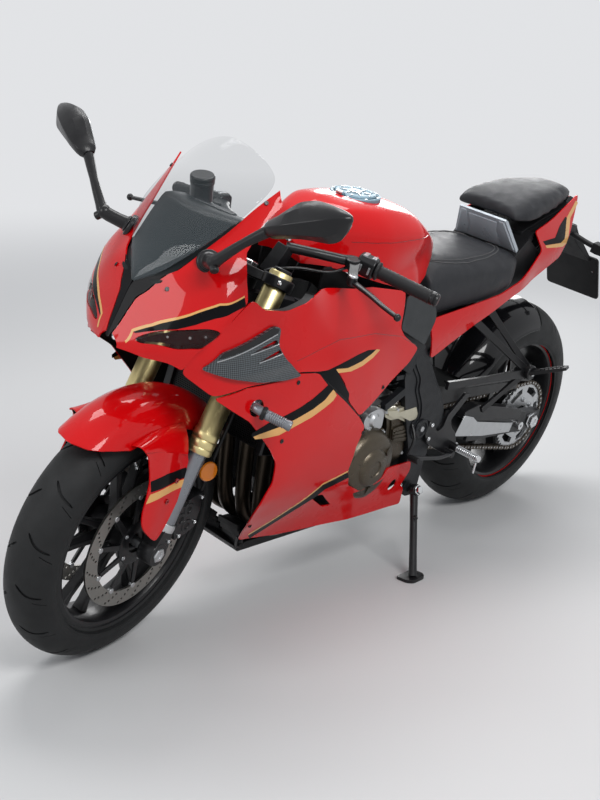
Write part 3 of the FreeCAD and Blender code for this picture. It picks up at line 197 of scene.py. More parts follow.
ROUGH_VARY = 0.12


class Paint(Nodes):
    """A Principled material with noise in its colour, roughness and surface."""

    def __init__(self, name, colour, rough=0.5, metal=0.0, coat=0.0, grain=60, vary=0.15, bump=0.1,
                 bump_scale=400, edge_lighten=0.0, spec=0.5):
        self.mat = bpy.data.materials.new(name)
        super().__init__(self.mat)
        self.shader = self.tree.nodes["Principled BSDF"]
        self.feed(self.shader, {"Metallic": metal, "Coat Weight": coat, "Coat Roughness": 0.04,
                                "Specular IOR Level": spec})
        self.place = self.node("ShaderNodeTexCoord", {}, "Object")
        tone = self.mix(self.noise(grain, 4), tuple(c * (1 - vary) for c in colour),
                        tuple(min(1, c * (1 + vary) + 0.001) for c in colour))
        # Sharp convex edges, found by pointiness, are made lighter
        if edge_lighten:
            edge = self.node("ShaderNodeNewGeometry", {}, "Pointiness")
            tone = self.mix(self.span(edge, 0.53, 0.60, 0, edge_lighten), tone,
                            tuple(min(1, c * 2 + 0.02) for c in colour))
        low, high = max(0.02, rough - ROUGH_VARY / 2), min(1, rough + ROUGH_VARY / 2)
        self.feed(self.shader, {"Base Color": tone,
                                "Roughness": self.span(self.noise(grain * 0.6, 3), 0.3, 0.7, low, high)})
        self.bump(self.noise(bump_scale, 2), bump)

    def noise(self, scale, detail):
        return self.node("ShaderNodeTexNoise", {"Scale": scale, "Detail": detail, "Vector": self.place},
                         "Fac")

    def span(self, value, a, b, low, high):
        return self.node("ShaderNodeMapRange", {"From Min": a, "From Max": b, "To Min": low, "To Max": high,
                                                "Value": value}, "Result")

    def mix(self, fac, a, b):
        """Colours a to b by fac; a may be the output of another node."""
        a, b = ((*c, 1) if isinstance(c, tuple) else c for c in (a, b))
        return self.node("ShaderNodeMix", {"Factor": fac, "A": a, "B": b}, "Result", data_type="RGBA")

    def bump(self, height, strength, distance=0.001):
        normal = self.node("ShaderNodeBump", {"Strength": strength, "Distance": distance, "Height": height},
                           "Normal")
        self.feed(self.shader, {"Normal": normal})


# Threads of the carbon weave per metre, times two pi
WEAVE = 760
# Heights in metres between which the clear screen's cover fades
SCREEN_FADE = (0.9, 1.08)


def carbon():
    """Twill weave: two crossed bands of threads under a clear coat."""
    paint = Paint("carbon_weave", (0.03, 0.032, 0.036), 0.3, 0.0, 0.6, vary=0.1, bump=0.02, spec=0.3)
    axes = paint.node("ShaderNodeSeparateXYZ", {"Vector": paint.place}).outputs
    a, b = (paint.math("MULTIPLY", paint.math(kind, axes["X"], axes["Z"]), WEAVE)
            for kind in ("ADD", "SUBTRACT"))
    a, b = (paint.node("ShaderNodeMath", {0: value}, "Value", operation="SINE") for value in (a, b))
    fac = paint.span(paint.math("MULTIPLY", a, b), -0.25, 0.25, 0, 1)
    paint.feed(paint.shader, {"Base Color": paint.mix(fac, (0.004, 0.005, 0.006), (0.085, 0.10, 0.11))})
    paint.bump(fac, 0.25, 0.0004)
    return paint.mat


def glass(name, tint, cover):
    """Clear plastic whose cover fades from the first share at its foot to the second at its top."""
    mat = bpy.data.materials.new(name)
    net = Nodes(mat)
    parts = net.node("ShaderNodeSeparateXYZ", {"Vector": net.node("ShaderNodeTexCoord", {}, "Object")})
    (low, high), (start, end) = SCREEN_FADE, cover
    fade = net.node("ShaderNodeMapRange", {"From Min": low, "From Max": high, "To Min": start, "To Max": end,
                                           "Value": parts.outputs["Z"]}, "Result")
    net.feed(net.tree.nodes["Principled BSDF"], {"Roughness": 0.02, "IOR": 1.46, "Coat Weight": 0.3,
                                                 "Base Color": (*tint, 1), "Alpha": fade})
    return mat


MATS = {}


def build_materials():
    table = {
        # colour, roughness, metal, coat, specular level, grain, vary, bump, bump scale
        "red": ((0.60, 0.0015, 0.003), 0.3, 0.0, 0.55, 0.04, 14, 0.04, 0.01, 900),
        "black_gloss": ((0.004, 0.004, 0.005), 0.2, 0.0, 0.6, 0.1, 20, 0.2, 0.02, 700),
        "seam_grey": ((0.10, 0.10, 0.10), 0.6, 0.0, 0.0, 0.2, 30, 0.2, 0.1, 900),
        "stripe_black": ((0.003, 0.003, 0.004), 0.3, 0.0, 0.1, 0.04, 20, 0.2, 0.02, 700),
        "gold_stripe": ((0.74, 0.40, 0.13), 0.3, 0.0, 0.5, 0.1, 40, 0.06, 0.02, 700),
        "black_plastic": ((0.009, 0.009, 0.010), 0.5, 0.0, 0.0, 0.25, 60, 0.2, 0.18, 1500),
        "satin_black": ((0.006, 0.006, 0.007), 0.34, 0.0, 0.1, 0.3, 60, 0.2, 0.08, 900),
        "cast_black": ((0.010, 0.010, 0.011), 0.42, 0.1, 0.0, 0.25, 80, 0.25, 0.25, 1100),
        "frame_black": ((0.009, 0.010, 0.012), 0.42, 0.1, 0.05, 0.25, 80, 0.25, 0.2, 1100),
        "bronze_case": ((0.085, 0.070, 0.050), 0.32, 0.8, 0.15, 0.3, 90, 0.15, 0.25, 1300),
        "champagne": ((0.52, 0.49, 0.38), 0.34, 0.6, 0.15, 0.3, 90, 0.10, 0.25, 1300),
        "header_steel": ((0.06, 0.046, 0.034), 0.36, 0.85, 0.0, 0.3, 12, 0.5, 0.08, 500),
        "silver": ((0.50, 0.51, 0.52), 0.32, 0.9, 0.0, 0.3, 60, 0.1, 0.12, 900),
        "bright_silver": ((0.66, 0.67, 0.68), 0.24, 1.0, 0.0, 0.3, 60, 0.08, 0.1, 900),
        "slider_grey": ((0.20, 0.21, 0.23), 0.3, 0.6, 0.3, 0.3, 60, 0.08, 0.08, 900),
        "silver_paint": ((0.42, 0.46, 0.50), 0.32, 0.3, 0.4, 0.3, 40, 0.06, 0.03, 700),
        "gold": ((0.66, 0.56, 0.28), 0.36, 1.0, 0.0, 0.3, 50, 0.08, 0.05, 900),
        "chain": ((0.09, 0.075, 0.06), 0.42, 0.8, 0.0, 0.3, 200, 0.4, 0.2, 1500),
        "rubber": ((0.010, 0.0105, 0.011), 0.62, 0.0, 0.0, 0.3, 40, 0.3, 0.35, 1300),
        "grip_rubber": ((0.007, 0.007, 0.008), 0.5, 0.0, 0.0, 0.3, 60, 0.2, 0.2, 1500),
        "vinyl": ((0.014, 0.015, 0.018), 0.5, 0.0, 0.0, 0.35, 50, 0.2, 0.35, 1700),
        "thread": ((0.20, 0.20, 0.20), 0.7, 0.0, 0.0, 0.2, 300, 0.2, 0.2, 2000),
        "amber": ((0.62, 0.17, 0.008), 0.2, 0.0, 0.6, 0.2, 60, 0.1, 0.1, 700),
        "tail_red": ((0.26, 0.006, 0.008), 0.2, 0.0, 0.8, 0.2, 60, 0.1, 0.05, 700),
        "lamp_dark": ((0.014, 0.001, 0.001), 0.25, 0.0, 0.2, 0.08, 60, 0.3, 0.03, 700),
        "lamp_chrome": ((0.62, 0.64, 0.66), 0.12, 1.0, 0.0, 0.3, 60, 0.05, 0.03, 700),
        "dash_black": ((0.004, 0.006, 0.007), 0.35, 0.0, 0.0, 0.15, 30, 0.3, 0.0, 900),
        "grey_panel": ((0.022, 0.025, 0.027), 0.45, 0.0, 0.0, 0.3, 60, 0.15, 0.2, 1500),
        "radiator_fins": ((0.012, 0.012, 0.013), 0.5, 0.3, 0.0, 0.2, 60, 0.2, 0.2, 900),
        "cap_blue": ((0.20, 0.30, 0.36), 0.45, 0.4, 0.1, 0.3, 60, 0.1, 0.1, 900),
        "red_line": ((0.5, 0.008, 0.01), 0.3, 0.0, 0.4, 0.2, 60, 0.1, 0.02, 700),
    }
    for name, (colour, rough, metal, coat, spec, grain, vary, bump, bump_scale) in table.items():
        # The three black finishes get lighter sharp edges
        edge_lighten = 0.25 if name in ("satin_black", "cast_black", "frame_black") else 0.0
        MATS[name] = Paint(name, colour, rough, metal, coat, grain, vary, bump, bump_scale,
                           edge_lighten=edge_lighten, spec=spec).mat
    MATS["carbon"] = carbon()
    MATS["disc"] = Paint("disc_steel", (0.30, 0.29, 0.27), 0.34, 1.0, vary=0.08, bump=0.05).mat
    MATS["screen"] = glass("screen_plastic", (0.08, 0.10, 0.11), (0.34, 0.08))
    MATS["lens"] = glass("lamp_lens", (0.03, 0.002, 0.002), (0.22, 0.22))


# Mesh making

BEVEL_ANGLE = 34
ON_BARS = {"matrix": STEERED, "body": "steering"}
ON_FORK = {"matrix": FORK, "body": "steering"}
ON_FRONT_WHEEL = {"matrix": FRONT_WHEEL, "body": "front_wheel"}
ON_REAR_WHEEL = {"matrix": REAR_WHEEL, "body": "rear_wheel"}


def smooth_shading(mesh, angle):
    """Smooth but for the edges sharper than angle, in degrees."""
    mesh.polygons.foreach_set("use_smooth", [True] * len(mesh.polygons))
    mesh.set_sharp_from_angle(angle=radians(angle))


def axes_of(axis):
    """The axis as a unit vector with two directions across it."""
    axis = Vector(axis).normalized()
    side = axis.orthogonal().normalized()
    return axis, side, axis.cross(side)


def hoop(centre, side, other, radius, n):
    """Points of a circle spanned by two directions."""
    turns = [TURN * i / n for i in range(n)]
    return [centre + side * (radius * cos(t)) + other * (radius * sin(t)) for t in turns]


def around(count, radius, phase=0.0):
    """Evenly spaced points (a, b) on a circle; phase is a share of one step."""
    turns = [TURN * (i + phase) / count for i in range(count)]
    return [(radius * cos(t), radius * sin(t)) for t in turns]


class Shape:
    """Collects closed solids into one mesh. Coordinates are millimetres in the matrix's frame."""

    def __init__(self):
        self.verts, self.faces, self.slots = [], [], []

    def add(self, verts, faces, slot=0):
        base = len(self.verts)
        self.verts += [tuple(v) for v in verts]
        self.faces += [tuple(base + i for i in f) for f in faces]
        self.slots += [slot] * len(faces)
        return self

    def mirrored(self):
        """Adds the mirror image across the middle plane."""
        base = len(self.verts)
        self.verts += [(x, -y, z) for x, y, z in self.verts]
        self.faces += [tuple(base + i for i in reversed(f)) for f in list(self.faces)]
        self.slots += list(self.slots)
        return self

    def rings(self, rings, slot=0, closed=False):
        """Skin over rings with equal numbers of points."""
        n = len(rings[0])
        verts = [p for ring in rings for p in ring]
        faces = []
        count = len(rings)
        for i in range(count if closed else count - 1):
            a, b = i * n, ((i + 1) % count) * n
            for j in range(n):
                k = (j + 1) % n
                faces.append((a + j, a + k, b + k, b + j))
        if not closed:
            faces.append(tuple(reversed(range(n))))
            faces.append(tuple(range((count - 1) * n, count * n)))
        return self.add(verts, faces, slot)

    def lathe(self, foot, axis, rows, slot=0, n=40):
        """Closed (distance along, radius) rows revolved about a line."""
        axis, side, other = axes_of(axis)
        return self.rings([hoop(Vector(foot) + axis * s, side, other, max(r, 0.02), n) for s, r in rows],
                          slot)

    def rod(self, a, b, r0, r1=None, slot=0, n=24, chamfer=0.8):
        """Round bar with small chamfers at both ends."""
        r1 = r0 if r1 is None else r1
        line = Vector(b) - Vector(a)
        c = min(chamfer, line.length / 3, r0 * 0.5, r1 * 0.5)
        return self.lathe(a, line, [(0, r0 - c), (c, r0), (line.length - c, r1), (line.length, r1 - c)], slot,
                          n)

    def ball(self, centre, radius, slot=0, n=16):
        rows = [(-radius * cos(pi * k / n), radius * sin(pi * k / n))
                for k in range(n + 1)]
        return self.lathe(centre, TOP, rows, slot, n=20)

    def tube(self, points, radius, slot=0, n=16, smooth=6):
        """Round bar along a smooth curve through the points."""
        path = curve(points, smooth)
        radii = radius if isinstance(radius, (list, tuple, np.ndarray)) else [radius] * len(path)
        if len(radii) != len(path):
            radii = np.interp(np.linspace(0, 1, len(path)), np.linspace(0, 1, len(radii)), radii)
        rings = []
        side = None
        for i, p in enumerate(path):
            ahead = path[min(i + 1, len(path) - 1)] - path[max(i - 1, 0)]
            ahead = ahead / np.linalg.norm(ahead)
            if side is None:
                side = np.array(Vector(ahead).orthogonal().normalized())
            side = side - ahead * side.dot(ahead)
            side = side / np.linalg.norm(side)
            other = np.cross(ahead, side)
            rings.append(hoop(p, side, other, radii[i], n))
        return self.rings(rings, slot)

    def beam(self, a, b, size_a, size_b, up=TOP, slot=0, mids=()):
        """Bar of rectangular section; mids are extra (share, width, height) sections."""
        a, b = Vector(a), Vector(b)
        along = (b - a).normalized()
        across = along.cross(Vector(up)).normalized()
        height = across.cross(along).normalized()
        rows = [(0, *size_a)] + list(mids) + [(1, *size_b)]
        rings = []
        for s, w, h in rows:
            p = a + (b - a) * s
            rings.append([p + across * (i * w / 2) + height * (j * h / 2)
                          for i, j in ((-1, -1), (1, -1), (1, 1), (-1, 1))])
        return self.rings(rings, slot)

    def prism(self, outline, y0, y1, slot=0):
        """Solid between two values of y with an (x, z) outline."""
        lower = [(x, y0, z) for x, z in outline]
        upper = [(x, y1, z) for x, z in outline]
        return self.rings([lower, upper], slot)

    def turned(self, profile, n=96):
        """Revolves a closed (y, r) profile about the Y axis."""
        rings = []
        for i in range(n):
            t = TURN * i / n
            rings.append([(r * sin(t), y, r * cos(t)) for y, r in profile])
        return self.rings(rings, closed=True)

    def hexagon(self, centre, axis, radius, height, slot=0):
        """Bolt head with six flats on a small round flange."""
        axis, c = Vector(axis).normalized(), Vector(centre)
        self.rod(c, c + axis * (height * 0.35), radius * 1.25, slot=slot, n=20, chamfer=0.5)
        return self.rod(c, c + axis * height, radius, slot=slot, n=6, chamfer=0.7)

    def socket(self, centre, axis, radius, height, slot=0):
        """Round cap screw with a sunk middle."""
        rows = [(0, radius), (height * 0.8, radius), (height, radius * 0.86), (height, radius * 0.5),
                (height * 0.5, radius * 0.45)]
        return self.lathe(centre, axis, rows, slot, n=18)

    def make(self, name, mats, replaces=(), slot=None, bevel=0.0, angle=38, segments=2, matrix=UP,
             body="chassis"):
        """The collected mesh as an object of a body; sharp above angle, bevel in millimetres."""
        mesh = bpy.data.meshes.new(name)
        mesh.from_pydata([tuple(v) for v in self.verts], [], self.faces)
        mesh.transform(matrix)
        for m in [mats] if isinstance(mats, str) else mats:
            mesh.materials.append(MATS[m])
        mesh.polygons.foreach_set("material_index", self.slots)
        obj = bpy.data.objects.new(name, mesh)
        bpy.context.collection.objects.link(obj)
        if bevel:
            mod = obj.modifiers.new("bevel", "BEVEL")
            mod.width = bevel / 1000
            mod.segments = segments
            mod.limit_method = "ANGLE"
            mod.angle_limit = radians(BEVEL_ANGLE)
            mod.use_clamp_overlap = True
        smooth_shading(mesh, angle)
        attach(obj, body)
        if replaces:
            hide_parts(*replaces)
        return obj


def curve(points, per_run):
    """Catmull-Rom samples through the points."""
    pts = [np.array(p, float) for p in points]
    if per_run < 2 or len(pts) < 3:
        return pts
    ext = [2 * pts[0] - pts[1]] + pts + [2 * pts[-1] - pts[-2]]
    out = []
    for i in range(1, len(ext) - 2):
        p0, p1, p2, p3 = ext[i - 1:i + 3]
        for k in range(per_run):
            t = k / per_run
            out.append(0.5 * (2 * p1 + (p2 - p0) * t + (2 * p0 - 5 * p1 + 4 * p2 - p3) * t * t
                              + (3 * p1 - p0 - 3 * p2 + p3) * t ** 3))
    out.append(pts[-1])
    return out


def smooth_through(xs, rows, x):
    """Monotone cubic interpolation down axis 0 of rows, at x, which may differ per column."""
    xs, rows, x = np.asarray(xs, float), np.asarray(rows, float), np.asarray(x, float)
    if rows.ndim == 1:
        rows = np.repeat(rows[:, None], x.size, axis=1)
    gaps = np.diff(xs)[:, None]
    slopes = np.diff(rows, axis=0) / gaps
    d = np.zeros_like(rows)
    d[0], d[-1] = slopes[0], slopes[-1]
    a, b = slopes[:-1], slopes[1:]
    same = a * b > 0
    w1, w2 = 2 * gaps[1:] + gaps[:-1], gaps[1:] + 2 * gaps[:-1]
    with np.errstate(divide="ignore", invalid="ignore"):
        mean = (w1 + w2) / (w1 / a + w2 / b)
    d[1:-1] = np.where(same, mean, 0)
    x = np.clip(x, xs[0], xs[-1])
    i = np.clip(np.searchsorted(xs, x, side="right") - 1, 0, len(xs) - 2)
    cols = np.arange(x.size)
    h = xs[i + 1] - xs[i]
    t = (x - xs[i]) / h
    y0, y1, d0, d1 = rows[i, cols], rows[i + 1, cols], d[i, cols], d[i + 1, cols]
    return (y0 * (1 + 2 * t) * (1 - t) ** 2 + d0 * h * t * (1 - t) ** 2
            + y1 * t * t * (3 - 2 * t) + d1 * h * t * t * (t - 1))


def rounded(points, radius=6, steps=4, keep=()):
    """Outline with its corners rounded; keep holds the indices that stay sharp."""
    pts = [np.array(p, float) for p in points]
    out = []
    n = len(pts)
    for i, p in enumerate(pts):
        a, b = pts[i - 1], pts[(i + 1) % n]
        if i in keep:
            out.append(p)
            continue
        la, lb = np.linalg.norm(a - p), np.linalg.norm(b - p)
        ra, rb = min(radius, la * 0.45), min(radius, lb * 0.45)
        start, end = p + (a - p) / la * ra, p + (b - p) / lb * rb
        for k in range(steps + 1):
            t = k / steps
            out.append(start * (1 - t) ** 2 + 2 * p * t * (1 - t) + end * t * t)
    return out


def dense(points, step):
    """Closed outline resampled so that no run is longer than step."""
    out = []
    n = len(points)
    for i in range(n):
        a, b = np.array(points[i], float), np.array(points[(i + 1) % n], float)
        parts = max(1, int(ceil(np.linalg.norm(b - a) / step)))
        for k in range(parts):
            out.append(a + (b - a) * k / parts)
    return out


def inside(px, pz, outline):
    """Which of many points lie inside a closed outline."""
    o = np.array(outline)
    x0, z0 = o[:, 0][:, None], o[:, 1][:, None]
    x1, z1 = np.roll(o[:, 0], -1)[:, None], np.roll(o[:, 1], -1)[:, None]
    crosses = (z0 > pz) != (z1 > pz)
    with np.errstate(divide="ignore", invalid="ignore"):
        at = x0 + (pz - z0) * (x1 - x0) / (z1 - z0)
    return (np.sum(crosses & (px < at), axis=0) % 2) == 1


def near_outline(px, pz, outline, reach):
    o = np.array(outline)
    a, b = o, np.roll(o, -1, axis=0)
    hit = np.zeros(len(px), bool)
    for (ax, az), (bx, bz) in zip(a, b):
        dx, dz = bx - ax, bz - az
        ll = dx * dx + dz * dz + 1e-9
        t = np.clip(((px - ax) * dx + (pz - az) * dz) / ll, 0, 1)
        hit |= (px - ax - t * dx) ** 2 + (pz - az - t * dz) ** 2 < reach * reach
    return hit


def fill(outline, holes, step):
    """Triangles of even size over a flat region: (points, triangles)."""
    loops = [dense(outline, step)] + [dense(h, step) for h in holes]
    o = np.array(loops[0])
    xs = np.arange(o[:, 0].min() - step, o[:, 0].max() + step, step)
    zs = np.arange(o[:, 1].min() - step, o[:, 1].max() + step, step * 0.87)
    gx, gz = np.meshgrid(xs, zs)
    gx = gx + (np.arange(len(zs)) % 2)[:, None] * step / 2
    px, pz = gx.ravel(), gz.ravel()
    ok = inside(px, pz, loops[0])
    px, pz = px[ok], pz[ok]
    for h in loops[1:]:
        ok = ~inside(px, pz, h)
        px, pz = px[ok], pz[ok]
    for loop in loops:
        ok = ~near_outline(px, pz, loop, step * 0.45)
        px, pz = px[ok], pz[ok]
    verts, edges = [], []
    for loop in loops:
        base = len(verts)
        verts += [Vector((p[0], p[1])) for p in loop]
        edges += [(base + i, base + (i + 1) % len(loop)) for i in range(len(loop))]
    verts += [Vector((a, b)) for a, b in zip(px, pz)]
    out, _, tris, _, _, _ = delaunay_2d_cdt(verts, edges, [], 0, 1e-4)
    pts = np.array([(v.x, v.y) for v in out])
    tri = np.array([t for t in tris if len(t) == 3])
    mid = pts[tri].mean(axis=1)
    ok = inside(mid[:, 0], mid[:, 1], loops[0])
    for h in loops[1:]:
        ok &= ~inside(mid[:, 0], mid[:, 1], h)
    return pts, tri[ok]


def two_skins(top, low, tri):
    """Closed shell between two sets of points with the same triangles: (vertices, faces, slots)."""
    n = len(top)
    faces = [tuple(int(i) for i in t) for t in tri] + [tuple(int(i) + n for i in t[::-1]) for t in tri]
    edges = dict.fromkeys((int(t[i]), int(t[(i + 1) % 3])) for t in tri for i in range(3))
    border = [(j, i, i + n, j + n) for i, j in edges if (j, i) not in edges]
    return np.vstack([top, low]), faces + border, [0] * len(tri) + [1] * len(tri) + [0] * len(border)


def facing(points, tri, way):
    """Triangles turned so that each faces along its row of way."""
    a, b, c = (points[tri[:, k]] for k in range(3))
    keep = np.einsum("ij,ij->i", np.cross(b - a, c - a), np.broadcast_to(way, a.shape)) > 0
    return np.where(keep[:, None], tri, tri[:, ::-1])


def sheet(surface, outline, holes, step, thick, lift):
    """Shell on a surface: (vertices, faces, slot of each face); slot 1 is its inner side."""
    pts, tri = fill(outline, holes, step)
    e = 0.5
    u, v = pts[:, 0], pts[:, 1]
    outer = surface(u, v)
    normal = np.cross(surface(u, v + e) - surface(u, v - e), surface(u + e, v) - surface(u - e, v))
    normal = normal / np.maximum(np.linalg.norm(normal, axis=1, keepdims=True), 1e-9)
    if np.mean(normal[:, 1]) < 0:
        normal = -normal
    top = outer + normal * lift
    low = outer + normal * (lift - thick)
    return two_skins(top, low, facing(top, tri, normal[tri[:, 0]]))


def slab(outline, holes, step, place, low, high, up):
    """Flat plate with holes for Shape.add; place turns its points and a height into positions."""
    pts, tri = fill(outline, holes, step)
    top = place(pts, high)
    return two_skins(top, place(pts, low), facing(top, tri, np.array([up])))[:2]


def panel(name, surface, outline, mats, holes=(), step=8, thick=3.5, lift=0.0, bevel=0.7, **more):
    """A curved shell, and its mirror image on the other side of the bike; more goes to make."""
    shape = Shape()
    verts, shape.faces, shape.slots = sheet(surface, outline, holes, step, thick, lift)
    shape.verts = [tuple(p) for p in verts]
    return shape.mirrored().make(name, [mats, mats] if isinstance(mats, str) else mats, bevel=bevel, **more)


def film(name, surface, outline, mat, lift=0.4, step=7, **more):
    """Stripe of colour, a thin film on the paint."""
    return panel(name, surface, outline, mat, step=step, thick=0.3, lift=lift, bevel=0, **more)


# The body's outer surfaces, in millimetres on the upright bike

NOSE_STATIONS = [
    (794, [(0, 753), (5, 751), (8, 748), (8, 744), (5, 740)]),
    (770, [(0, 806), (32, 790), (62, 765), (70, 750), (66, 734)]),
    (740, [(0, 868), (62, 840), (117, 802), (128, 765), (121, 730)]),
    (700, [(74, 910), (126, 878), (160, 840), (179, 800), (170, 715)]),
    (650, [(98, 958), (150, 928), (192, 880), (203, 830), (206, 690)]),
    (600, [(117, 1003), (156, 972), (186, 934), (206, 880), (213, 800)]),
    (560, [(131, 1043), (152, 1024), (172, 996), (198, 940), (210, 880)]),
    (512, [(150, 1086), (158, 1072), (176, 1040), (190, 1000), (203, 940)]),
]
CENTRE_WEDGE = [(0, 740), (3, 757), (13, 790), (19, 823), (24, 847), (38, 863), (52, 889), (66, 910),
                (0, 940)]
SIDE_LEVELS = (900, 840, 760, 700, 600, 520, 450, 400, 350, 300, 260, 225, 186)
SIDE_WIDTHS = [
    (722, (80, 117, 150, 139, 130, 128, 126, 124, 120, 110, 100, 90, 76)),
    (670, (168, 194, 198, 199, 198, 192, 190, 186, 170, 142, 116, 96, 76)),
    (600, (204, 209, 215, 220, 226, 220, 216, 208, 182, 150, 120, 98, 76)),
    (500, (208, 212, 221, 228, 234, 233, 223, 212, 184, 152, 122, 98, 76)),
    (440, (204, 212, 223, 231, 236, 235, 226, 210, 182, 150, 121, 97, 76)),
    (340, (150, 192, 218, 230, 235, 232, 222, 208, 184, 153, 127, 106, 86)),
    (200, (130, 174, 200, 212, 220, 220, 214, 204, 188, 164, 145, 130, 114)),
    (60, (120, 154, 179, 187, 195, 200, 200, 195, 186, 174, 160, 150, 141)),
    (-60, (120, 144, 166, 172, 178, 180, 182, 178, 172, 165, 158, 151, 145)),
    (-165, (120, 140, 157, 160, 163, 168, 168, 165, 160, 155, 150, 148, 145)),
]
NOSE_STEP = 40


def side_surface(x, z):
    """Side of the body: half-width at (x, z)."""
    x, z = np.asarray(x, float), np.asarray(z, float)
    rows = []
    for _, widths in SIDE_WIDTHS[::-1]:
        rows.append(smooth_through(SIDE_LEVELS[::-1], widths[::-1], z))
    y = smooth_through([s[0] for s in SIDE_WIDTHS[::-1]], np.array(rows), x)
    return np.stack([x, y, z], axis=1)


def nose_surface(x, v):
    """Upper cowl; v falls by one step from each point of the station's line to the next."""
    x, t = np.asarray(x, float), np.clip(-np.asarray(v, float) / NOSE_STEP, 0, 4)
    ys, zs = [], []
    for _, line in NOSE_STATIONS[::-1]:
        ys.append(smooth_through(range(5), [p[0] for p in line], t))
        zs.append(smooth_through(range(5), [p[1] for p in line], t))
    xs = [s[0] for s in NOSE_STATIONS[::-1]]
    return np.stack([x, smooth_through(xs, np.array(ys), x), smooth_through(xs, np.array(zs), x)], axis=1)


def nose_v(x, z):
    """The v of the nose surface at a height."""
    ts = np.linspace(0, 4, 161)
    line = nose_surface(np.full(161, x), -ts * NOSE_STEP)
    return -NOSE_STEP * np.interp(-z, -line[:, 2], ts)


def wedge_v(x, gap):
    """The v at which the black centre strip ends, at one x."""
    ts = np.linspace(0, 4, 321)
    line = nose_surface(np.full(321, x), -ts * NOSE_STEP)
    limit = np.interp(line[:, 2], [p[1] for p in CENTRE_WEDGE], [p[0] for p in CENTRE_WEDGE])
    over = np.nonzero(line[:, 1] > limit + gap)[0]
    return -NOSE_STEP * (ts[over[0]] if len(over) else 4)


def on_nose(points):
    return [(x, nose_v(x, z)) for x, z in points]


def offset_surface(surface, out):
    """The same surface moved sideways, away from the middle of the bike."""
    def moved(u, v):
        place = surface(u, v)
        place[:, 1] += out
        return place
    return moved


def circle(cx, cz, r, n=24):
    return [(cx + a, cz + b) for a, b in around(n, r)]


# Fairing

COWL_LOW = [(786, 747), (764, 743), (740, 744), (719, 733)]
COWL_SEAM = [(707, 773), (671, 821), (645, 850), (614, 879), (611, 920), (597, 968), (568, 1006),
             (516, 1056)]
HEADLIGHT_EDGE = [(769, 775), (753, 796), (723, 816), (689, 828), (674, 825), (669, 817), (701, 783),
                  (732, 776),
                  (766, 769)]
SIDE_EDGE = [(613, 876), (644, 848), (670, 820), (706, 773), (718, 727), (671, 686), (595, 703),
             (500, 704), (453, 713), (390, 703), (334, 699), (294, 656), (266, 606), (206, 555),
             (147, 580), (86, 607), (5, 638), (-29, 667), (44, 712), (66, 736), (44, 816),
             (182, 846), (250, 852), (312, 862), (372, 871), (417, 868), (444, 857), (502, 848),
             (570, 860), (598, 882)]
LOWER_EDGE = [(667, 681), (595, 699), (500, 700), (453, 709), (391, 699), (353, 662), (284, 612),
              (203, 549), (174, 518), (190, 472), (188, 402), (151, 344), (87, 306), (6, 320),
              (-5, 347), (-127, 330), (-138, 300), (-112, 260), (-134, 246), (-140, 195),
              (-77, 201), (131, 212), (297, 210), (414, 229), (445, 288), (471, 343), (486, 385),
              (483, 419), (474, 453), (484, 508), (509, 545), (580, 623), (629, 655)]
VANE_EDGE = [(700, 744), (668, 782), (542, 827), (523, 820), (526, 784), (503, 751), (453, 707),
             (498, 703), (570, 709), (654, 729)]
VENT_EDGE = [(290, 350), (243, 344), (170, 284), (198, 284)]


def top_line(x):
    """Start of the red cowl below the screen or the black strip."""
    return wedge_v(x, 2.5) if x > 697 else -1.2


def nose():
    upper = [(x, top_line(x)) for x in list(range(514, 698, 12)) + list(range(700, 788, 6))]
    outline = upper + on_nose(COWL_LOW + COWL_SEAM)
    lens = rounded(on_nose(HEADLIGHT_EDGE), 8)
    panel("nose_cowl_skin", nose_surface, rounded(outline, 4, keep=range(len(upper))),
          ["red", "black_plastic"],
          holes=[lens], step=7, thick=3.5, bevel=1.0, replaces=["nose_cowl"], slot="red_paint")
    strip = [(x, -0.6) for x in range(706, 792, 6)] + [(x, wedge_v(x, -0.5)) for x in range(788, 705, -6)]
    panel("nose_centre_strip", nose_surface, strip, ["stripe_black", "black_plastic"], step=6, thick=3.5,
          bevel=0.8, replaces=["nose_panel"])
    panel("headlight_lens", nose_surface, shrink(lens, 1.2), "lens", step=6, thick=2,
          bevel=0.5, replaces=["headlights"])
    panel("headlight_bowl", nose_surface, shrink(lens, 2.5), "lamp_dark", step=6, thick=2,
          lift=-16, bevel=0.5)
    lamps = Shape()
    for x, z, r in ((736, 795, 7), (712, 803, 8), (690, 809, 7)):
        centre = Vector(nose_surface([x], [nose_v(x, z)])[0]) - Vector((5, 12, 0))
        look = Vector((0.8, 0.55, 0.15)).normalized()
        lamps.rod(centre, centre + look * 9, r * 0.6, r, 0)
        lamps.rod(centre + look * 8, centre + look * 9.6, r * 0.35, slot=1)
    lamps.mirrored().make("headlight_projectors", ["lamp_dark", "silver"], bevel=0.3)
    # Black band with its gold edge over the headlight
    gold = [(777, 765), (766, 790), (748, 812), (723, 836), (698, 856), (668, 877), (620, 893)]
    band = [(765, 785), (747, 803), (728, 815), (703, 832), (677, 849), (650, 861), (618, 873)]
    edge = [(x, z - 3.6) for x, z in gold]
    film("nose_black_band", nose_surface, on_nose(edge[1:] + band[::-1]), "stripe_black", 0.35, 6)
    film("nose_gold_line", nose_surface, on_nose(gold + edge[::-1]), "gold_stripe", step=6)
    screws = Shape()
    for x, share in ((540, 0.25), (716, 0.55)):
        spot = nose_surface([x], [-share * NOSE_STEP])[0]
        screws.socket(spot, (0.5, 0.7, 0.5), 4.5, 3)
    screws.mirrored().make("cowl_screws", "satin_black")
    flange("window_flange", side_surface, WINDOW_LIP, 26)


WINDOW_LIP = [(417, 872), (421, 867), (444, 857), (502, 848), (570, 860), (590, 872)]


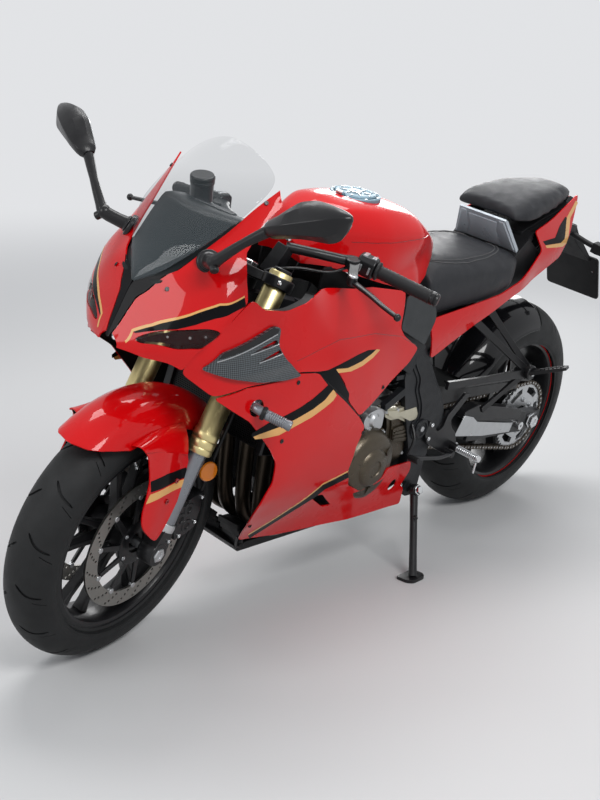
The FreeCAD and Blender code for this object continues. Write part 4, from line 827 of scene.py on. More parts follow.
def flange(name, surface, line, depth):
    """Lip that turns inwards from the edge of a panel."""
    pts = np.array(curve([(x, z, 0) for x, z in line], 5))[:, :2]
    edge = surface(pts[:, 0], pts[:, 1])
    shape = Shape()
    rings = []
    for p in edge:
        rings.append([tuple(p + np.array([0, dy, dz])) for dy,
                      dz in ((-1, 0), (-depth, -3), (-depth, -6), (-1, -3))])
    shape.rings(rings)
    shape.mirrored().make(name, "black_plastic", bevel=0.5)


# How far the vane stands off the panel, and the height of its crease
VANE_OUT, VANE_CREASE = 7.5, 5.0


def vane_surface(x, z):
    """Carbon vane: stands off the panel, with one crease along it."""
    place = side_surface(x, z)
    crease = np.exp(-((z - 731 - (668 - x) * 0.07) / 15) ** 2) * np.clip((690 - x) / 60, 0, 1)
    place[:, 1] += VANE_OUT + VANE_CREASE * crease
    return place


def side_panels():
    panel("side_fairing_skin", side_surface, rounded(SIDE_EDGE, 12), ["red", "black_plastic"],
          step=8, thick=3.5, bevel=1.2, replaces=["side_fairings"], slot="red_paint")
    holes = [rounded(VENT_EDGE, 8), circle(566, 652, 19), circle(-68, 276, 17)]
    panel("lower_fairing_skin", side_surface, rounded(LOWER_EDGE, 10), ["red", "black_plastic"], holes=holes,
          step=8, thick=3.5, bevel=1.2, replaces=["lower_fairings"], slot="red_paint")
    slots = [rounded([(601, 776), (536, 797), (529, 788), (560, 782)], 2),
             rounded([(578, 756), (523, 774), (517, 766), (545, 760)], 2)]
    panel("side_vane_skin", vane_surface, rounded(shrink(VANE_EDGE, 1.5), 8), ["carbon", "black_plastic"],
          holes=slots, step=6, thick=VANE_OUT - 0.5, bevel=1.6, replaces=["side_vanes"], slot="carbon")
    panel("vane_top_band", vane_surface, [(674, 769), (664, 783), (545, 823), (529, 817), (534, 809)],
          "black_gloss", step=7, thick=0.5, lift=0.6, bevel=0)
    ribs = Shape()
    for a, b in (((676, 764), (534, 808)), ((603, 774), (527, 786)), ((580, 754), (516, 764))):
        line = [vane_surface(np.array([x]), np.array([z]))[0] + np.array([0, 0.6, 0])
                for x, z in zip(np.linspace(a[0], b[0], 12), np.linspace(a[1], b[1], 12))]
        ribs.tube(line, 1.1, smooth=1, n=8)
    ribs.mirrored().make("vane_ribs", "silver")
    back = Shape()
    back.rod((-74, 120, 276), (-74, 134, 276), 34)
    back.hexagon((-72, 134, 276), LEFT, 8, 6, 1)
    back.socket((-135, 140, 250), LEFT, 6, 4, 1)
    for x, z in ((455, 690), (440, 300), (178, 505), (40, 335), (120, 604), (480, 560)):
        spot = side_surface(np.array([x]), np.array([z]))[0]
        back.socket(spot - np.array([0, 1, 0]), LEFT, 5, 3)
    back.mirrored().make("fairing_fixings", ["satin_black", "bright_silver"], bevel=0.6)


def shrink(outline, by):
    """Closed outline moved inwards."""
    pts = np.array(outline, float)
    area = 0.5 * np.sum(pts[:, 0] * np.roll(pts[:, 1], -1) - np.roll(pts[:, 0], -1) * pts[:, 1])
    out = []
    for i, p in enumerate(pts):
        a, b = pts[i - 1], pts[(i + 1) % len(pts)]
        d1, d2 = p - a, b - p
        n1 = np.array([-d1[1], d1[0]]) / np.linalg.norm(d1)
        n2 = np.array([-d2[1], d2[0]]) / np.linalg.norm(d2)
        n = n1 + n2
        n = n / max(0.5, np.linalg.norm(n))
        out.append(tuple(p + n * by * (1 if area > 0 else -1)))
    return out


def side_graphics():
    """Stripes on the side panels."""
    band = [(337, 652), (361, 632), (397, 618), (447, 606), (493, 597), (549, 591)]
    fold = [(337, 699), (291, 692), (235, 695), (198, 702)]
    stripes = [
        ("side_band_black", "stripe_black", 0.4,
         [(572, 596), (559, 602), (528, 613), (485, 620), (439, 631), (403, 643), (376, 656), (355, 667),
          (345, 660)] + band + [(570, 587)]),
        ("side_band_gold", "gold_stripe", 0.42,
         [(566, 588)] + band[::-1] + [(330, 646), (322, 635), (331, 625), (357, 613), (396, 599), (443, 589),
                                      (492, 577), (533, 578), (560, 581)]),
        ("scoop_black", "stripe_black", 0.4,
         rounded([(389, 698), (357, 702), (337, 700), (306, 665), (273, 628), (270, 608), (321, 645),
                  (363, 677)], 3)),
        ("upper_stripe_black", "stripe_black", 0.4,
         [(357, 702), (309, 709), (253, 714), (211, 715), (176, 709)] + fold[::-1]),
        ("upper_stripe_gold", "gold_stripe", 0.4,
         fold + [(173, 709), (157, 704), (187, 692), (229, 683), (277, 681), (326, 688)]),
        ("low_gold_line", "gold_stripe", 0.4,
         [(399, 247), (340, 318), (271, 390), (186, 402), (186, 397), (268, 384), (335, 312), (394, 240)]),
        ("low_black_band", "stripe_black", 0.4,
         [(394, 240), (335, 312), (268, 384), (187, 397), (170, 376), (246, 362), (318, 292), (376, 222)]),
    ]
    for name, mat, lift, points in stripes:
        film(name, side_surface, points, mat, lift)
    seam = [(464, 739), (393, 752), (325, 761), (182, 747), (63, 716), (-15, 678)]
    film("side_seam", side_surface, seam + [(x, z - 1.5) for x, z in seam[::-1]], "tail_red", 0.3)


# Tank, screen, seats and tail

TANK_STATIONS = [
    (322, 930, (40, 924), (58, 906), (66, 884)),
    (272, 986, (60, 976), (84, 946), (88, 880)),
    (200, 1012, (78, 1000), (112, 950), (117, 862)),
    (92, 1004, (90, 994), (136, 940), (140, 830)),
    (-20, 986, (84, 974), (128, 932), (136, 802)),
    (-90, 960, (64, 944), (104, 914), (112, 812)),
    (-150, 928, (44, 912), (72, 888), (80, 832)),
    (-212, 888, (18, 882), (30, 870), (34, 852)),
]
CAP_X, CAP_FLOOR, CAP_SIDES = 92, 990, 72


def section_rows(stations):
    """Six (y, z) points down the left half of each station, from its crown to its low edge."""
    rows = []
    for x, top, (sy, sz), (fy, fz), (ly, lz) in stations:
        crown = (sy * 0.55, top - (top - sz) * 0.3)
        waist = ((fy + ly) / 2 + 1, (fz + lz) / 2)
        rows.append((x, [(0, top), crown, (sy, sz), (fy, fz), waist, (ly, lz)]))
    return rows


def through_rows(stations, values, u, x):
    """Surface value at (x, u): first along each station's line of values, then from station to station."""
    lines = [smooth_through(range(len(line)), line, u) for line in values]
    return smooth_through(stations, np.array(lines), x)


def loft_surface(rows, dent=None):
    """Surface (x, t) through sections; t runs from 0 at the crown to 5 at the low edge."""
    rows = sorted(rows)
    xs = [r[0] for r in rows]

    def at(x, t):
        x, t = np.asarray(x, float), np.asarray(t, float)
        y, z = (through_rows(xs, [[p[k] for p in r[1]] for r in rows], t, x) for k in (0, 1))
        if dent:
            y = y - dent(x, z)
        return np.stack([x, y, z], axis=1)
    return at


def closed_loft(surface, xs, ts, low):
    """Solid between the surface, its mirror image and a flat bottom raised by low."""
    rings = []
    for x in xs:
        left = surface(np.full(len(ts), x), ts)
        y, z = left[-1, 1] * 0.5, left[-1, 2] + low
        right = left[1:][::-1] * np.array([1, -1, 1])
        rings.append([tuple(p) for p in np.vstack([left, [[x, y, z], [x, -y, z]], right])])
    return Shape().rings(rings)


def knee(x, z):
    """Hollow for the rider's knee in the tank's side."""
    return 15 * np.exp(-((x + 40) / 95) ** 2 - ((z - 858) / 40) ** 2)


def tank():
    surface = loft_surface(section_rows(TANK_STATIONS), knee)
    xs = np.concatenate([np.linspace(-212, -150, 8)[:-1], np.linspace(-150, 272, 50),
                         np.linspace(272, 322, 8)[1:]])
    body = closed_loft(surface, xs, np.linspace(0, 5, 41), 6).make("tank_shell", "red", ["fuel_tank"],
                                                                   "red_tank")
    cut = Shape().rod((CAP_X, 0, CAP_FLOOR - 8), (CAP_X, 0, CAP_FLOOR + 60), 60, n=72)
    cutter = cut.make("tank_cutter", "red")
    mod = body.modifiers.new("dish", "BOOLEAN")
    mod.object = cutter
    mod.solver = "EXACT"
    bpy.context.view_layer.update()
    depsgraph = bpy.context.evaluated_depsgraph_get()
    mesh = bpy.data.meshes.new_from_object(body.evaluated_get(depsgraph))
    body.modifiers.clear()
    body.data = mesh
    smooth_shading(mesh, 34)
    bpy.data.objects.remove(cutter)
    filler_cap()
    # Painted crease shading: a thin darker red tube along the tank's crease, standing in for the light and
    # shade of the crease
    line = Shape()
    pts = []
    for x in np.linspace(-72, 212, 30):
        z = np.interp(x, (-72, 212), (924, 935))
        ts = np.linspace(2, 4, 101)
        spot = surface(np.full(101, x), ts)
        i = int(np.argmin(np.abs(spot[:, 2] - z)))
        pts.append(spot[i] + np.array([0, 0.2, 0]))
    line.tube(pts, 0.9, smooth=1, n=6)
    line.mirrored().make("tank_crease_painted_shade", "tail_red")


def filler_cap():
    """Filler ring with its screws, and the hinged lid."""
    ring = Shape()
    rows = [(40, -6), (60.5, -6), (60.5, 14), (57, 16.5), (52, 15), (50, 9), (40, 9)]
    ring.add(*turned_z(rows, CAP_X, CAP_FLOOR + 2, CAP_SIDES), 0)
    for x, y in around(8, 55, 0.5):
        ring.socket((CAP_X + x, y, CAP_FLOOR + 16), TOP, 3.6, 3.2, 1)
    ring.make("filler_ring", ["cap_blue", "bright_silver"], bevel=0.5)
    lid = Shape()
    top = CAP_FLOOR + 21
    lid.add(*turned_z([(0, 12), (47, 12), (49, 14), (49, 18.5), (46, 21), (39, 21.5), (37.5, 20), (0, 20)],
                      CAP_X, CAP_FLOOR, CAP_SIDES), 0)
    for i in range(6):
        t = TURN * i / 6
        a = Vector((CAP_X + 20 * cos(t), 20 * sin(t), top + 0.2))
        b = Vector((CAP_X + 36 * cos(t), 36 * sin(t), top + 0.2))
        lid.beam(a, b, (3, 2), (3, 2), slot=1)
        lid.socket((CAP_X + 43 * cos(t + 0.5), 43 * sin(t + 0.5), top), TOP, 3, 2, 1)
    lid.rod((CAP_X, 0, top - 2), (CAP_X, 0, top + 2.5), 15, slot=1, n=40)
    lid.rod((CAP_X, 0, top), (CAP_X, 0, top + 3.4), 8, slot=0, n=30)
    lid.rod((CAP_X + 57, -9, CAP_FLOOR + 24.3), (CAP_X + 57, 9, CAP_FLOOR + 24.3), 4.3, slot=1)
    lid.beam((CAP_X + 44, 0, CAP_FLOOR + 19), (CAP_X + 56, 0, CAP_FLOOR + 22), (17, 5), (17, 5), slot=0)
    lid.make("filler_lid", ["cap_blue", "bright_silver"], ["fuel_cap"], bevel=0.4, body="fuel_cap")


def turned_z(rows, cx, z0, n):
    """Closed (r, z) profile revolved about a vertical line; its first and last may lie on the axis."""
    verts, faces = [], []
    m = len(rows)
    for i in range(n):
        t = TURN * i / n
        verts += [(cx + max(r, 0.01) * cos(t), max(r, 0.01) * sin(t), z0 + z) for r, z in rows]
    for i in range(n):
        a, b = i * m, ((i + 1) % n) * m
        for j in range(m):
            k = (j + 1) % m
            if rows[j][0] < 0.1 and rows[k][0] < 0.1:
                continue
            faces.append((a + j, b + j, b + k, a + k))
    return verts, faces


SCREEN_ROWS = [(874, 5, 737, 738), (886, 27, 722, 734), (906, 50, 706, 722), (930, 71, 688, 706),
               (966, 101, 660, 683), (1001, 122, 626, 660), (1030, 131, 588, 639), (1060, 134, 549, 617),
               (1075, 132, 528, 605), (1090, 127, 512, 591), (1105, 115, 503, 575), (1120, 94, 502, 558),
               (1135, 63, 505, 539), (1144, 38, 508, 525), (1149, 14, 511, 516), (1150.5, 1, 512.5, 513)]
DASH_ROWS = [(872, 38, 726, 733), (886, 60, 718, 724), (930, 84, 674, 690), (975, 101, 622, 642),
             (1004, 110, 588, 606), (1012, 110, 578, 596), (1013, 108, 560, 575), (1008, 104, 528, 540)]


def screen_surface(u, z, inset=0.0):
    u, z = np.asarray(u, float), np.asarray(z, float)
    zs = [r[0] for r in SCREEN_ROWS]
    half, edge, mid = (smooth_through(zs, [r[k] for r in SCREEN_ROWS], z) for k in (1, 2, 3))
    return np.stack([edge + (mid - edge) * (1 - u * u) - inset, half * u, z], axis=1)


def grid_shell(outer, inner, nu, shape, flip=False):
    """Closed shell between two grids with nu columns; flip where rows and columns turn the other way."""
    base = len(outer)
    nz = base // nu
    faces = []
    for i in range(nz - 1):
        for j in range(nu - 1):
            a, b, c, d = i * nu + j, i * nu + j + 1, (i + 1) * nu + j + 1, (i + 1) * nu + j
            quad = (a, d, c, b) if flip else (a, b, c, d)
            faces += [quad, tuple(base + k for k in reversed(quad))]
    loop = list(range(nu)) + [i * nu + nu - 1 for i in range(1, nz)]
    loop += [(nz - 1) * nu + j for j in range(nu - 2, -1, -1)] + [i * nu for i in range(nz - 2, 0, -1)]
    for a, b in zip(loop, loop[1:] + loop[:1]):
        faces.append((a, b, base + b, base + a) if flip else (b, a, base + a, base + b))
    return shape.add([*outer, *inner], faces)


def screen():
    nu = 48
    us = np.linspace(-1, 1, nu)
    low, high = SCREEN_ROWS[0][0], SCREEN_ROWS[-1][0]
    zs = np.concatenate([np.linspace(low, 1090, 36),
                         1090 + (high - 1090) * np.sin(np.linspace(0, pi / 2, 24)[1:])])
    grid_u, grid_z = np.meshgrid(us, zs)
    outer = screen_surface(grid_u.ravel(), grid_z.ravel())
    inner = screen_surface(grid_u.ravel(), grid_z.ravel(), 3.0)
    shape = grid_shell(outer, inner, nu, Shape())
    shape.make("windscreen_bubble", "screen", ["windscreen"], "clear_screen", angle=60)
    # Black instrument panel under the foot of the screen, folded back at its top
    rows = []
    for z, half, edge, mid in DASH_ROWS:
        rows.append([(edge + (mid - edge) * (1 - u * u), half * u, z) for u in us])
    outer = np.array(rows).reshape(-1, 3)
    shape = grid_shell(outer, outer - np.array([3, 0, 3]), nu, Shape())
    shape.make("instrument_panel", "dash_black", angle=40)
    meter = Shape()
    face = [(-62, 966), (62, 966), (70, 1000), (56, 1012), (-56, 1012), (-70, 1000)]
    meter.rings([[(x, y, z) for y, z in face] for x in (530, 548)])
    meter.make("instrument_display", "black_gloss", bevel=3)


def seats():
    rider = [(-98, 838, (70, 830), (128, 800), (142, 712)), (-200, 852, (84, 846), (136, 808), (143, 716)),
             (-330, 846, (100, 842), (144, 806), (143, 722)), (-440, 842, (104, 838), (144, 806), (138, 738)),
             (-498, 838, (92, 834), (118, 820), (118, 766))]
    rear = [(-458, 950, (70, 944), (96, 930), (98, 916)), (-520, 970, (84, 962), (112, 940), (114, 914)),
            (-640, 986, (76, 978), (98, 958), (100, 930)), (-740, 988, (56, 980), (74, 964), (76, 948)),
            (-806, 974, (34, 970), (46, 962), (48, 956))]
    for name, rows, node, cap in (("rider_seat_pad", rider, "rider_seat", 5),
                                  ("passenger_seat_pad", rear, "passenger_seat", 3)):
        surface = loft_surface(section_rows(rows))
        xs = np.linspace(rows[-1][0] + 5, rows[0][0] - 5, 40)
        shape = closed_loft(surface, xs, np.linspace(0, 5, 25), 2)
        verts = np.array(shape.verts)
        mid = verts.mean(axis=0)
        shape.verts = [tuple(v) for v in (verts - mid) * PAD_SIZE + mid]
        pad = shape.make(name, "vinyl", [node], "seat_cover", angle=60)
        inflate(pad, cap)
        if node == "rider_seat":
            stitching(pad)
    seat_trim_facets()
    seat_infill()


def seat_infill():
    """Dark sides that close the gaps under the seats and below the tank."""
    base = Shape()
    under = [(-30, 640), (-30, 742), (-100, 752), (-300, 740), (-430, 760), (-500, 838), (-540, 870),
             (-566, 850), (-610, 822), (-610, 772), (-540, 744), (-420, 708), (-320, 684), (-240, 640),
             (-190, 604), (-90, 600)]
    for s in (1, -1):
        base.prism(rounded(under, 6), s * 104 - 3, s * 104 + 3)
    base.prism([(-430, 745), (-500, 838), (-560, 885), (-560, 865), (-500, 800), (-440, 735)], -104, 104)
    base.prism([(-540, 866), (-540, 880), (-640, 912), (-720, 930), (-720, 918), (-640, 896)], -78, 78)
    skirt = [(170, 800), (180, 850), (236, 880), (275, 876), (280, 820), (250, 800)]
    for s in (1, -1):
        base.prism(rounded(skirt, 6), s * 95 - 3, s * 95 + 3)
    base.make("seat_base_infill", "black_plastic", bevel=1.0)


def seat_trim_facets():
    """Raised faces on the silver plate between the seats."""
    foot, along = Vector((-500, 0, 836)), Vector((44, 0, 82))
    out = Vector((82, 0, -44)).normalized()
    shape = Shape()
    faces = [[(0.1, -50), (0.1, 50), (0.5, 40), (0.86, 46), (0.86, -46), (0.5, -40)]]
    for s in (1, -1):
        faces.append([(0.06, s * 58), (0.06, s * 97), (0.5, s * 84), (0.94, s * 70), (0.94, s * 54),
                      (0.5, s * 49)])
    for face in faces:
        middle = (sum(f[0] for f in face) / len(face), sum(f[1] for f in face) / len(face))
        rings = []
        for height, size in ((4, 1), (6.5, 1), (8, 0.88)):
            rings.append([foot + along * (middle[0] + (a - middle[0]) * size) + out * height
                          + Vector((0, middle[1] + (y - middle[1]) * size, 0)) for a, y in face])
        shape.rings(rings)
    shape.make("seat_trim_facets", "silver_paint", bevel=0.8)


STITCHES = [(-120, 54), (-142, 74), (-182, 98), (-250, 110), (-336, 110), (-396, 100), (-440, 80), (-464, 54),
            (-470, 30)]


def stitching(pad):
    """Double seam laid on the pad from above."""
    tree = BVHTree.FromObject(pad, bpy.context.evaluated_depsgraph_get())
    to_pad = pad.matrix_world.inverted() @ UP
    shape = Shape()
    down = (to_pad.to_3x3() @ Vector((0, 0, -1))).normalized()
    for side in (1, -1):
        for inset in (0, 9):
            line = []
            for x, y, _ in curve([(x, y, 0) for x, y in STITCHES], 8):
                start = Vector((x + inset * 0.4, side * (y - inset), 1000))
                spot = tree.ray_cast(to_pad @ start, down)[0]
                if spot is not None:
                    line.append(to_pad.inverted() @ spot + Vector((0, 0, 0.6)))
            shape.tube(line, 1.0, smooth=1, n=6)
    shape.make("seat_stitching", "seam_grey")


# Cloth of the seats: remeshed in metres, blown up for some frames
VOXEL, PRESSURE, CLOTH_FRAMES = 0.008, 4, 20
# The pads before they swell, against the finished seats
PAD_SIZE = np.array([1, 0.975, 0.93])


def inflate(pad, cap):
    """Swells a pad as cloth under pressure, with each point's move capped, in millimetres."""
    bpy.context.view_layer.objects.active = pad
    remesh = pad.modifiers.new("remesh", "REMESH")
    remesh.mode = "VOXEL"
    remesh.voxel_size = VOXEL
    depsgraph = bpy.context.evaluated_depsgraph_get()
    mesh = bpy.data.meshes.new_from_object(pad.evaluated_get(depsgraph))
    pad.modifiers.clear()
    pad.data = mesh
    n = len(mesh.vertices)
    rest = np.empty(n * 3)
    mesh.vertices.foreach_get("co", rest)
    rest = rest.reshape(-1, 3)
    cloth = pad.modifiers.new("cloth", "CLOTH")
    cloth.settings.use_pressure = True
    cloth.settings.uniform_pressure_force = PRESSURE
    cloth.settings.effector_weights.gravity = 0
    scene = bpy.context.scene
    for frame_number in range(1, CLOTH_FRAMES + 1):
        scene.frame_set(frame_number)
    depsgraph = bpy.context.evaluated_depsgraph_get()
    blown = np.empty(n * 3)
    pad.evaluated_get(depsgraph).data.vertices.foreach_get("co", blown)
    pad.modifiers.clear()
    scene.frame_set(1)
    move = blown.reshape(-1, 3) - rest
    length = np.linalg.norm(move, axis=1, keepdims=True)
    move = move * np.minimum(1, cap / 1000 / np.maximum(length, 1e-9))
    mesh.vertices.foreach_set("co", (rest + move).ravel())
    mesh.polygons.foreach_set("use_smooth", [True] * len(mesh.polygons))
    mod = pad.modifiers.new("subdivision", "SUBSURF")
    mod.levels = mod.render_levels = 1


TAIL_STATIONS = [
    (-78, [(150, 770), (160, 715), (166, 660), (160, 600)]),
    (-300, [(143, 800), (150, 755), (152, 700), (146, 640)]),
    (-500, [(120, 900), (136, 830), (140, 785), (130, 715)]),
    (-600, [(106, 945), (118, 870), (124, 820), (114, 750)]),
    (-700, [(88, 980), (102, 900), (112, 845), (102, 775)]),
    (-800, [(66, 1000), (86, 930), (94, 870), (86, 790)]),
]
TAIL_EDGE = [(-120, 616), (-84, 724), (-401, 744), (-490, 766), (-590, 836), (-541, 893),
             (-640, 918), (-788, 968), (-730, 796), (-560, 745), (-297, 677)]


def tail_surface(x, z):
    """Side of the tail at (x, z)."""
    x, z = np.asarray(x, float), np.asarray(z, float)
    rows = []
    for _, line in TAIL_STATIONS[::-1]:
        rows.append(smooth_through([p[1] for p in line[::-1]], [p[0] for p in line[::-1]], z))
    y = smooth_through([s[0] for s in TAIL_STATIONS[::-1]], np.array(rows), x)
    return np.stack([x, y, z], axis=1)


def tail():
    panel("tail_cowl_skin", tail_surface, rounded(TAIL_EDGE, 12), ["red", "black_plastic"], step=9, thick=3.5,
          bevel=1.2, replaces=["tail_cowl"], slot="red_paint")
    black = [(-586, 862), (-656, 864), (-680, 893), (-712, 914), (-733, 905), (-718, 853), (-697, 845),
             (-604, 850)]
    film("tail_stripe_black", tail_surface, black, "stripe_black")
    gold = [(-722, 912), (-772, 952), (-786, 944), (-745, 908), (-744, 837), (-724, 830), (-614, 841),
            (-604, 849),
            (-697, 845), (-718, 853)]
    film("tail_stripe_gold", tail_surface, gold, "gold_stripe", 0.42)


def knee_covers():
    outline = [(66, 732), (42, 804), (-40, 812), (-92, 752), (-96, 728), (-57, 668)]
    panel("tank_side_cover_skin", offset_surface(side_surface, 1.5), rounded(shrink(outline, 1.5), 10),
          ["grey_panel", "black_plastic"], step=8, thick=3.5, bevel=1.4, replaces=["tank_side_covers"])


# Wheels, each about its own axle

def tread_patch(radius, half, pitches, grooves):
    """One pitch of the tread with its grooves: vertices and faces in the wheel's frame."""
    centre = radius - half
    reach = pi / 2 * 0.93
    pitch = TURN / pitches * radius
    span = half * reach

    def surface(a, s, sink):
        bend = s / half
        r = centre + (half - sink) * np.cos(bend)
        y = (half - sink) * np.sin(bend)
        t = a / radius
        return np.stack([r * np.sin(t), y, r * np.cos(t)], axis=1)

    outline = [(0, -span), (pitch, -span), (pitch, span), (0, span)]
    shape = Shape()
    pts, tri = fill(outline, grooves, TREAD_STEP)
    top = surface(pts[:, 0], pts[:, 1], 0)
    shape.add(top, orient(top, tri))
    for groove in grooves:
        rim = np.array(dense(groove, TREAD_STEP))
        floor_pts, floor_tri = fill(groove, [], TREAD_STEP)
        low = surface(floor_pts[:, 0], floor_pts[:, 1], GROOVE_DEPTH)
        shape.add(low, orient(low, floor_tri))
        a, b = surface(rim[:, 0], rim[:, 1], 0), surface(rim[:, 0], rim[:, 1], GROOVE_DEPTH)
        n = len(rim)
        shape.add(np.vstack([a, b]), [(i, i + n, (i + 1) % n + n, (i + 1) % n) for i in range(n)])
    return shape, reach


def orient(points, tri):
    """Triangles turned to face away from the wheel's crown circle."""
    return [tuple(int(i) for i in t) for t in facing(points, tri, points[tri[:, 0]] * np.array([1, 3, 1]))]


def tyre(name, body, matrix, radius, half, pitches, grooves):
    patch, reach = tread_patch(radius, half, pitches, grooves)
    shape = Shape()
    verts = np.array(patch.verts)
    for i in range(pitches):
        t = TURN * i / pitches
        c, s = cos(t), sin(t)
        turned = np.stack([verts[:, 0] * c + verts[:, 2] * s, verts[:, 1],
                           -verts[:, 0] * s + verts[:, 2] * c], axis=1)
        shape.add(turned, patch.faces)
    shape.make(name + "_tread", "rubber", angle=50, matrix=matrix, body=body)
    centre = radius - half
    wall = Shape()
    for side in (1, -1):
        rows = []
        for k in range(9):
            t = reach + (pi / 2 - reach) * k / 8
            rows.append((side * half * sin(t), centre + half * cos(t)))
        bead = half - 13
        rows += [(side * (half - 1), centre - 6), (side * (half - 2.5), centre - 8),
                 (side * (half - 3), centre - 14),
                 (side * (bead + 3), BEAD_R + 9), (side * (bead + 3.5), BEAD_R + 6),
                 (side * bead, BEAD_R + 1),
                 (side * (bead - 10), BEAD_R + 1), (side * (bead - 6), centre - 8)]
        inner = [(side * (half - 8) * sin(t), centre + (half - 8) * cos(t))
                 for t in np.linspace(pi / 2, reach, 4)]
        wall.turned(rows + inner, n=144)
    wall.make(name + "_walls", "rubber", [name], "tyre_rubber", angle=30, matrix=matrix, body=body)


def groove(points, width):
    """Slot of constant width with pointed ends along a line of (a, s) points."""
    pts = np.array(curve([(p[0], p[1], 0) for p in points], 4))[:, :2]
    left, right = [], []
    for i, p in enumerate(pts):
        d = pts[min(i + 1, len(pts) - 1)] - pts[max(i - 1, 0)]
        d = d / np.linalg.norm(d)
        n = np.array([-d[1], d[0]])
        w = width / 2 * (0.35 if i in (0, len(pts) - 1) else 1)
        left.append(tuple(p + n * w))
        right.append(tuple(p - n * w))
    return left + right[::-1]


# Grooves of one pitch: width, how far the right side's lie ahead, line of (a, s) points
FRONT_GROOVES = [(6, 30, [(12, 10), (34, 34), (44, 66)]), (4.5, 30, [(52, 46), (66, 76)])]
REAR_GROOVES = [(7, 48, [(14, 16), (42, 56), (52, 100)]), (5, -46, [(66, 60), (84, 108)])]
GROOVE_DEPTH, TREAD_STEP = 4.5, 7.5


def both_sides(grooves):
    return [groove([(a + (ahead if s < 0 else 0), s * b) for a, b in line], width)
            for s in (1, -1) for width, ahead, line in grooves]


def tyres():
    tyre("front_tyre", "front_wheel", FRONT_WHEEL, FRONT_R, FRONT_HALF, 16, both_sides(FRONT_GROOVES))
    tyre("rear_tyre", "rear_wheel", REAR_WHEEL, REAR_R, REAR_HALF, 17, both_sides(REAR_GROOVES))


def rim(body, node, matrix, rim_half, hub_half, spoke_half, line=None):
    outer = BEAD_R - 0.5
    barrel = Shape()
    lip = rim_half + 2
    prof = [(-lip, outer - 6), (-lip + 1, outer + 1.5), (-lip + 5, outer + 1), (-rim_half + 8, outer - 5),
            (rim_half - 8, outer - 5), (lip - 5, outer + 1), (lip - 1, outer + 1.5), (lip, outer - 6),
            (lip - 3, outer - 12), (rim_half - 14, outer - 19), (0, outer - 21), (14 - rim_half, outer - 19),
            (3 - lip, outer - 12)]
    barrel.turned(prof, n=144)
    barrel.make(body + "_barrel", "satin_black", [node], "cast_black", angle=32, matrix=matrix, body=body)
    spokes = Shape()
    for i in range(5):
        middle = radians(i * 72 + 90)
        for side in (-1, 1):
            inner, outer_end = middle + side * radians(13), middle + side * radians(12)
            a = Vector((30 * cos(inner), 0, 30 * sin(inner)))
            b = Vector((196 * cos(outer_end), 0, 196 * sin(outer_end)))
            up = (sin(inner), 0, -cos(inner))
            spokes.beam(a, b, (spoke_half * 1.5, 24), (spoke_half * 1.25, 22), up,
                        mids=((0.25, spoke_half * 1.2, 16), (0.55, spoke_half, 13),
                              (0.85, spoke_half * 1.05, 15)))
    spokes.turned([(-hub_half, 20), (-hub_half, 33), (-hub_half + 8, 38), (hub_half - 8, 38), (hub_half, 33),
                   (hub_half, 20), (hub_half - 6, 14), (6 - hub_half, 14)], n=64)
    spokes.make(body + "_spokes", "satin_black", bevel=3.2, segments=3, matrix=matrix, body=body)
    valve = Shape().rod((0, 6, outer - 16), (0, 26, outer - 44), 3.2)
    valve.rod((0, 26, outer - 44), (0, 30, outer - 50), 4)
    valve.make(body + "_valve", "bright_silver", matrix=matrix, body=body)
    if line:
        stripe = Shape()
        for side in (1, -1):
            y = side * (lip + 0.2)
            stripe.turned([(y, outer - 5.2), (y + side * 0.4, outer - 5.2), (y + side * 0.4, outer - 1.4),
                           (y, outer - 1.4)], n=144)
        stripe.make(body + "_line", line, matrix=matrix, body=body)


def across_axle(pts, y):
    """Points of a plate that stands on the axle."""
    return np.stack([pts[:, 0], np.full(len(pts), y), pts[:, 1]], axis=1)


def disc(shape, radius, band, y, thick, rows):
    """Drilled ring between y and y + thick about the axle."""
    holes = [circle(0, 0, radius - band, 64)]
    for r, count, phase in rows:
        holes += [circle(a, b, 3.1, 8) for a, b in around(count, r, phase)]
    shape.add(*slab(circle(0, 0, radius, 96), holes, 12, across_axle, y, y + thick, LEFT))


# How far the outer ends of a disc's carrier arms run ahead of their feet, as a share of one step
FRONT_LEAD = 0.2 * 10 / (TURN)
REAR_LEAD = 0.3 * 5 / (TURN)


def discs():
    front = Shape()
    disc(front, 155, 36, 57, 5, [(r, 20, 0.2 * k) for k, r in enumerate((126, 134, 142, 149))])
    front.mirrored().make("front_disc_bands", "disc", ["front_discs"], "disc_steel",
                          angle=30, **ON_FRONT_WHEEL)
    carrier = Shape()
    for i, ((c, s), (a, b)) in enumerate(zip(around(10, 1), around(10, 1, FRONT_LEAD))):
        carrier.beam((40 * c, 58, 40 * s), (112 * a, 59, 112 * b), (5, 15), (5, 11), (-s, 0, c))
        carrier.rod((119 * a, 55, 119 * b), (119 * a, 64, 119 * b), 6.5, slot=1)
        if i % 2:
            carrier.socket((46 * c, 60, 46 * s), LEFT, 5, 4, 1)
    carrier.turned([(56, 26), (56, 54), (61, 54), (62, 50), (62, 26)], n=64)
    carrier.mirrored().make("front_disc_carriers", ["satin_black", "silver"], bevel=1, **ON_FRONT_WHEEL)
    rear = Shape()
    disc(rear, 110, 34, -81, 5, [(r, 18, 0.2 * k) for k, r in enumerate((84, 92, 100))])
    rear.make("rear_disc_band", "disc", ["rear_disc"], "disc_steel", angle=30, **ON_REAR_WHEEL)
    arms = Shape()
    for (c, s), (a, b) in zip(around(5, 1), around(5, 80, REAR_LEAD)):
        arms.beam((40 * c, -77, 40 * s), (a, -78, b), (5, 16), (5, 12), (-s, 0, c))
    arms.turned([(-80, 26), (-80, 52), (-74, 52), (-74, 26)], n=64)
    arms.make("rear_disc_carrier", "silver", bevel=0.8, **ON_REAR_WHEEL)


TEETH = 43
CHAIN_Y, CHAIN_PITCH = 106, 15.875
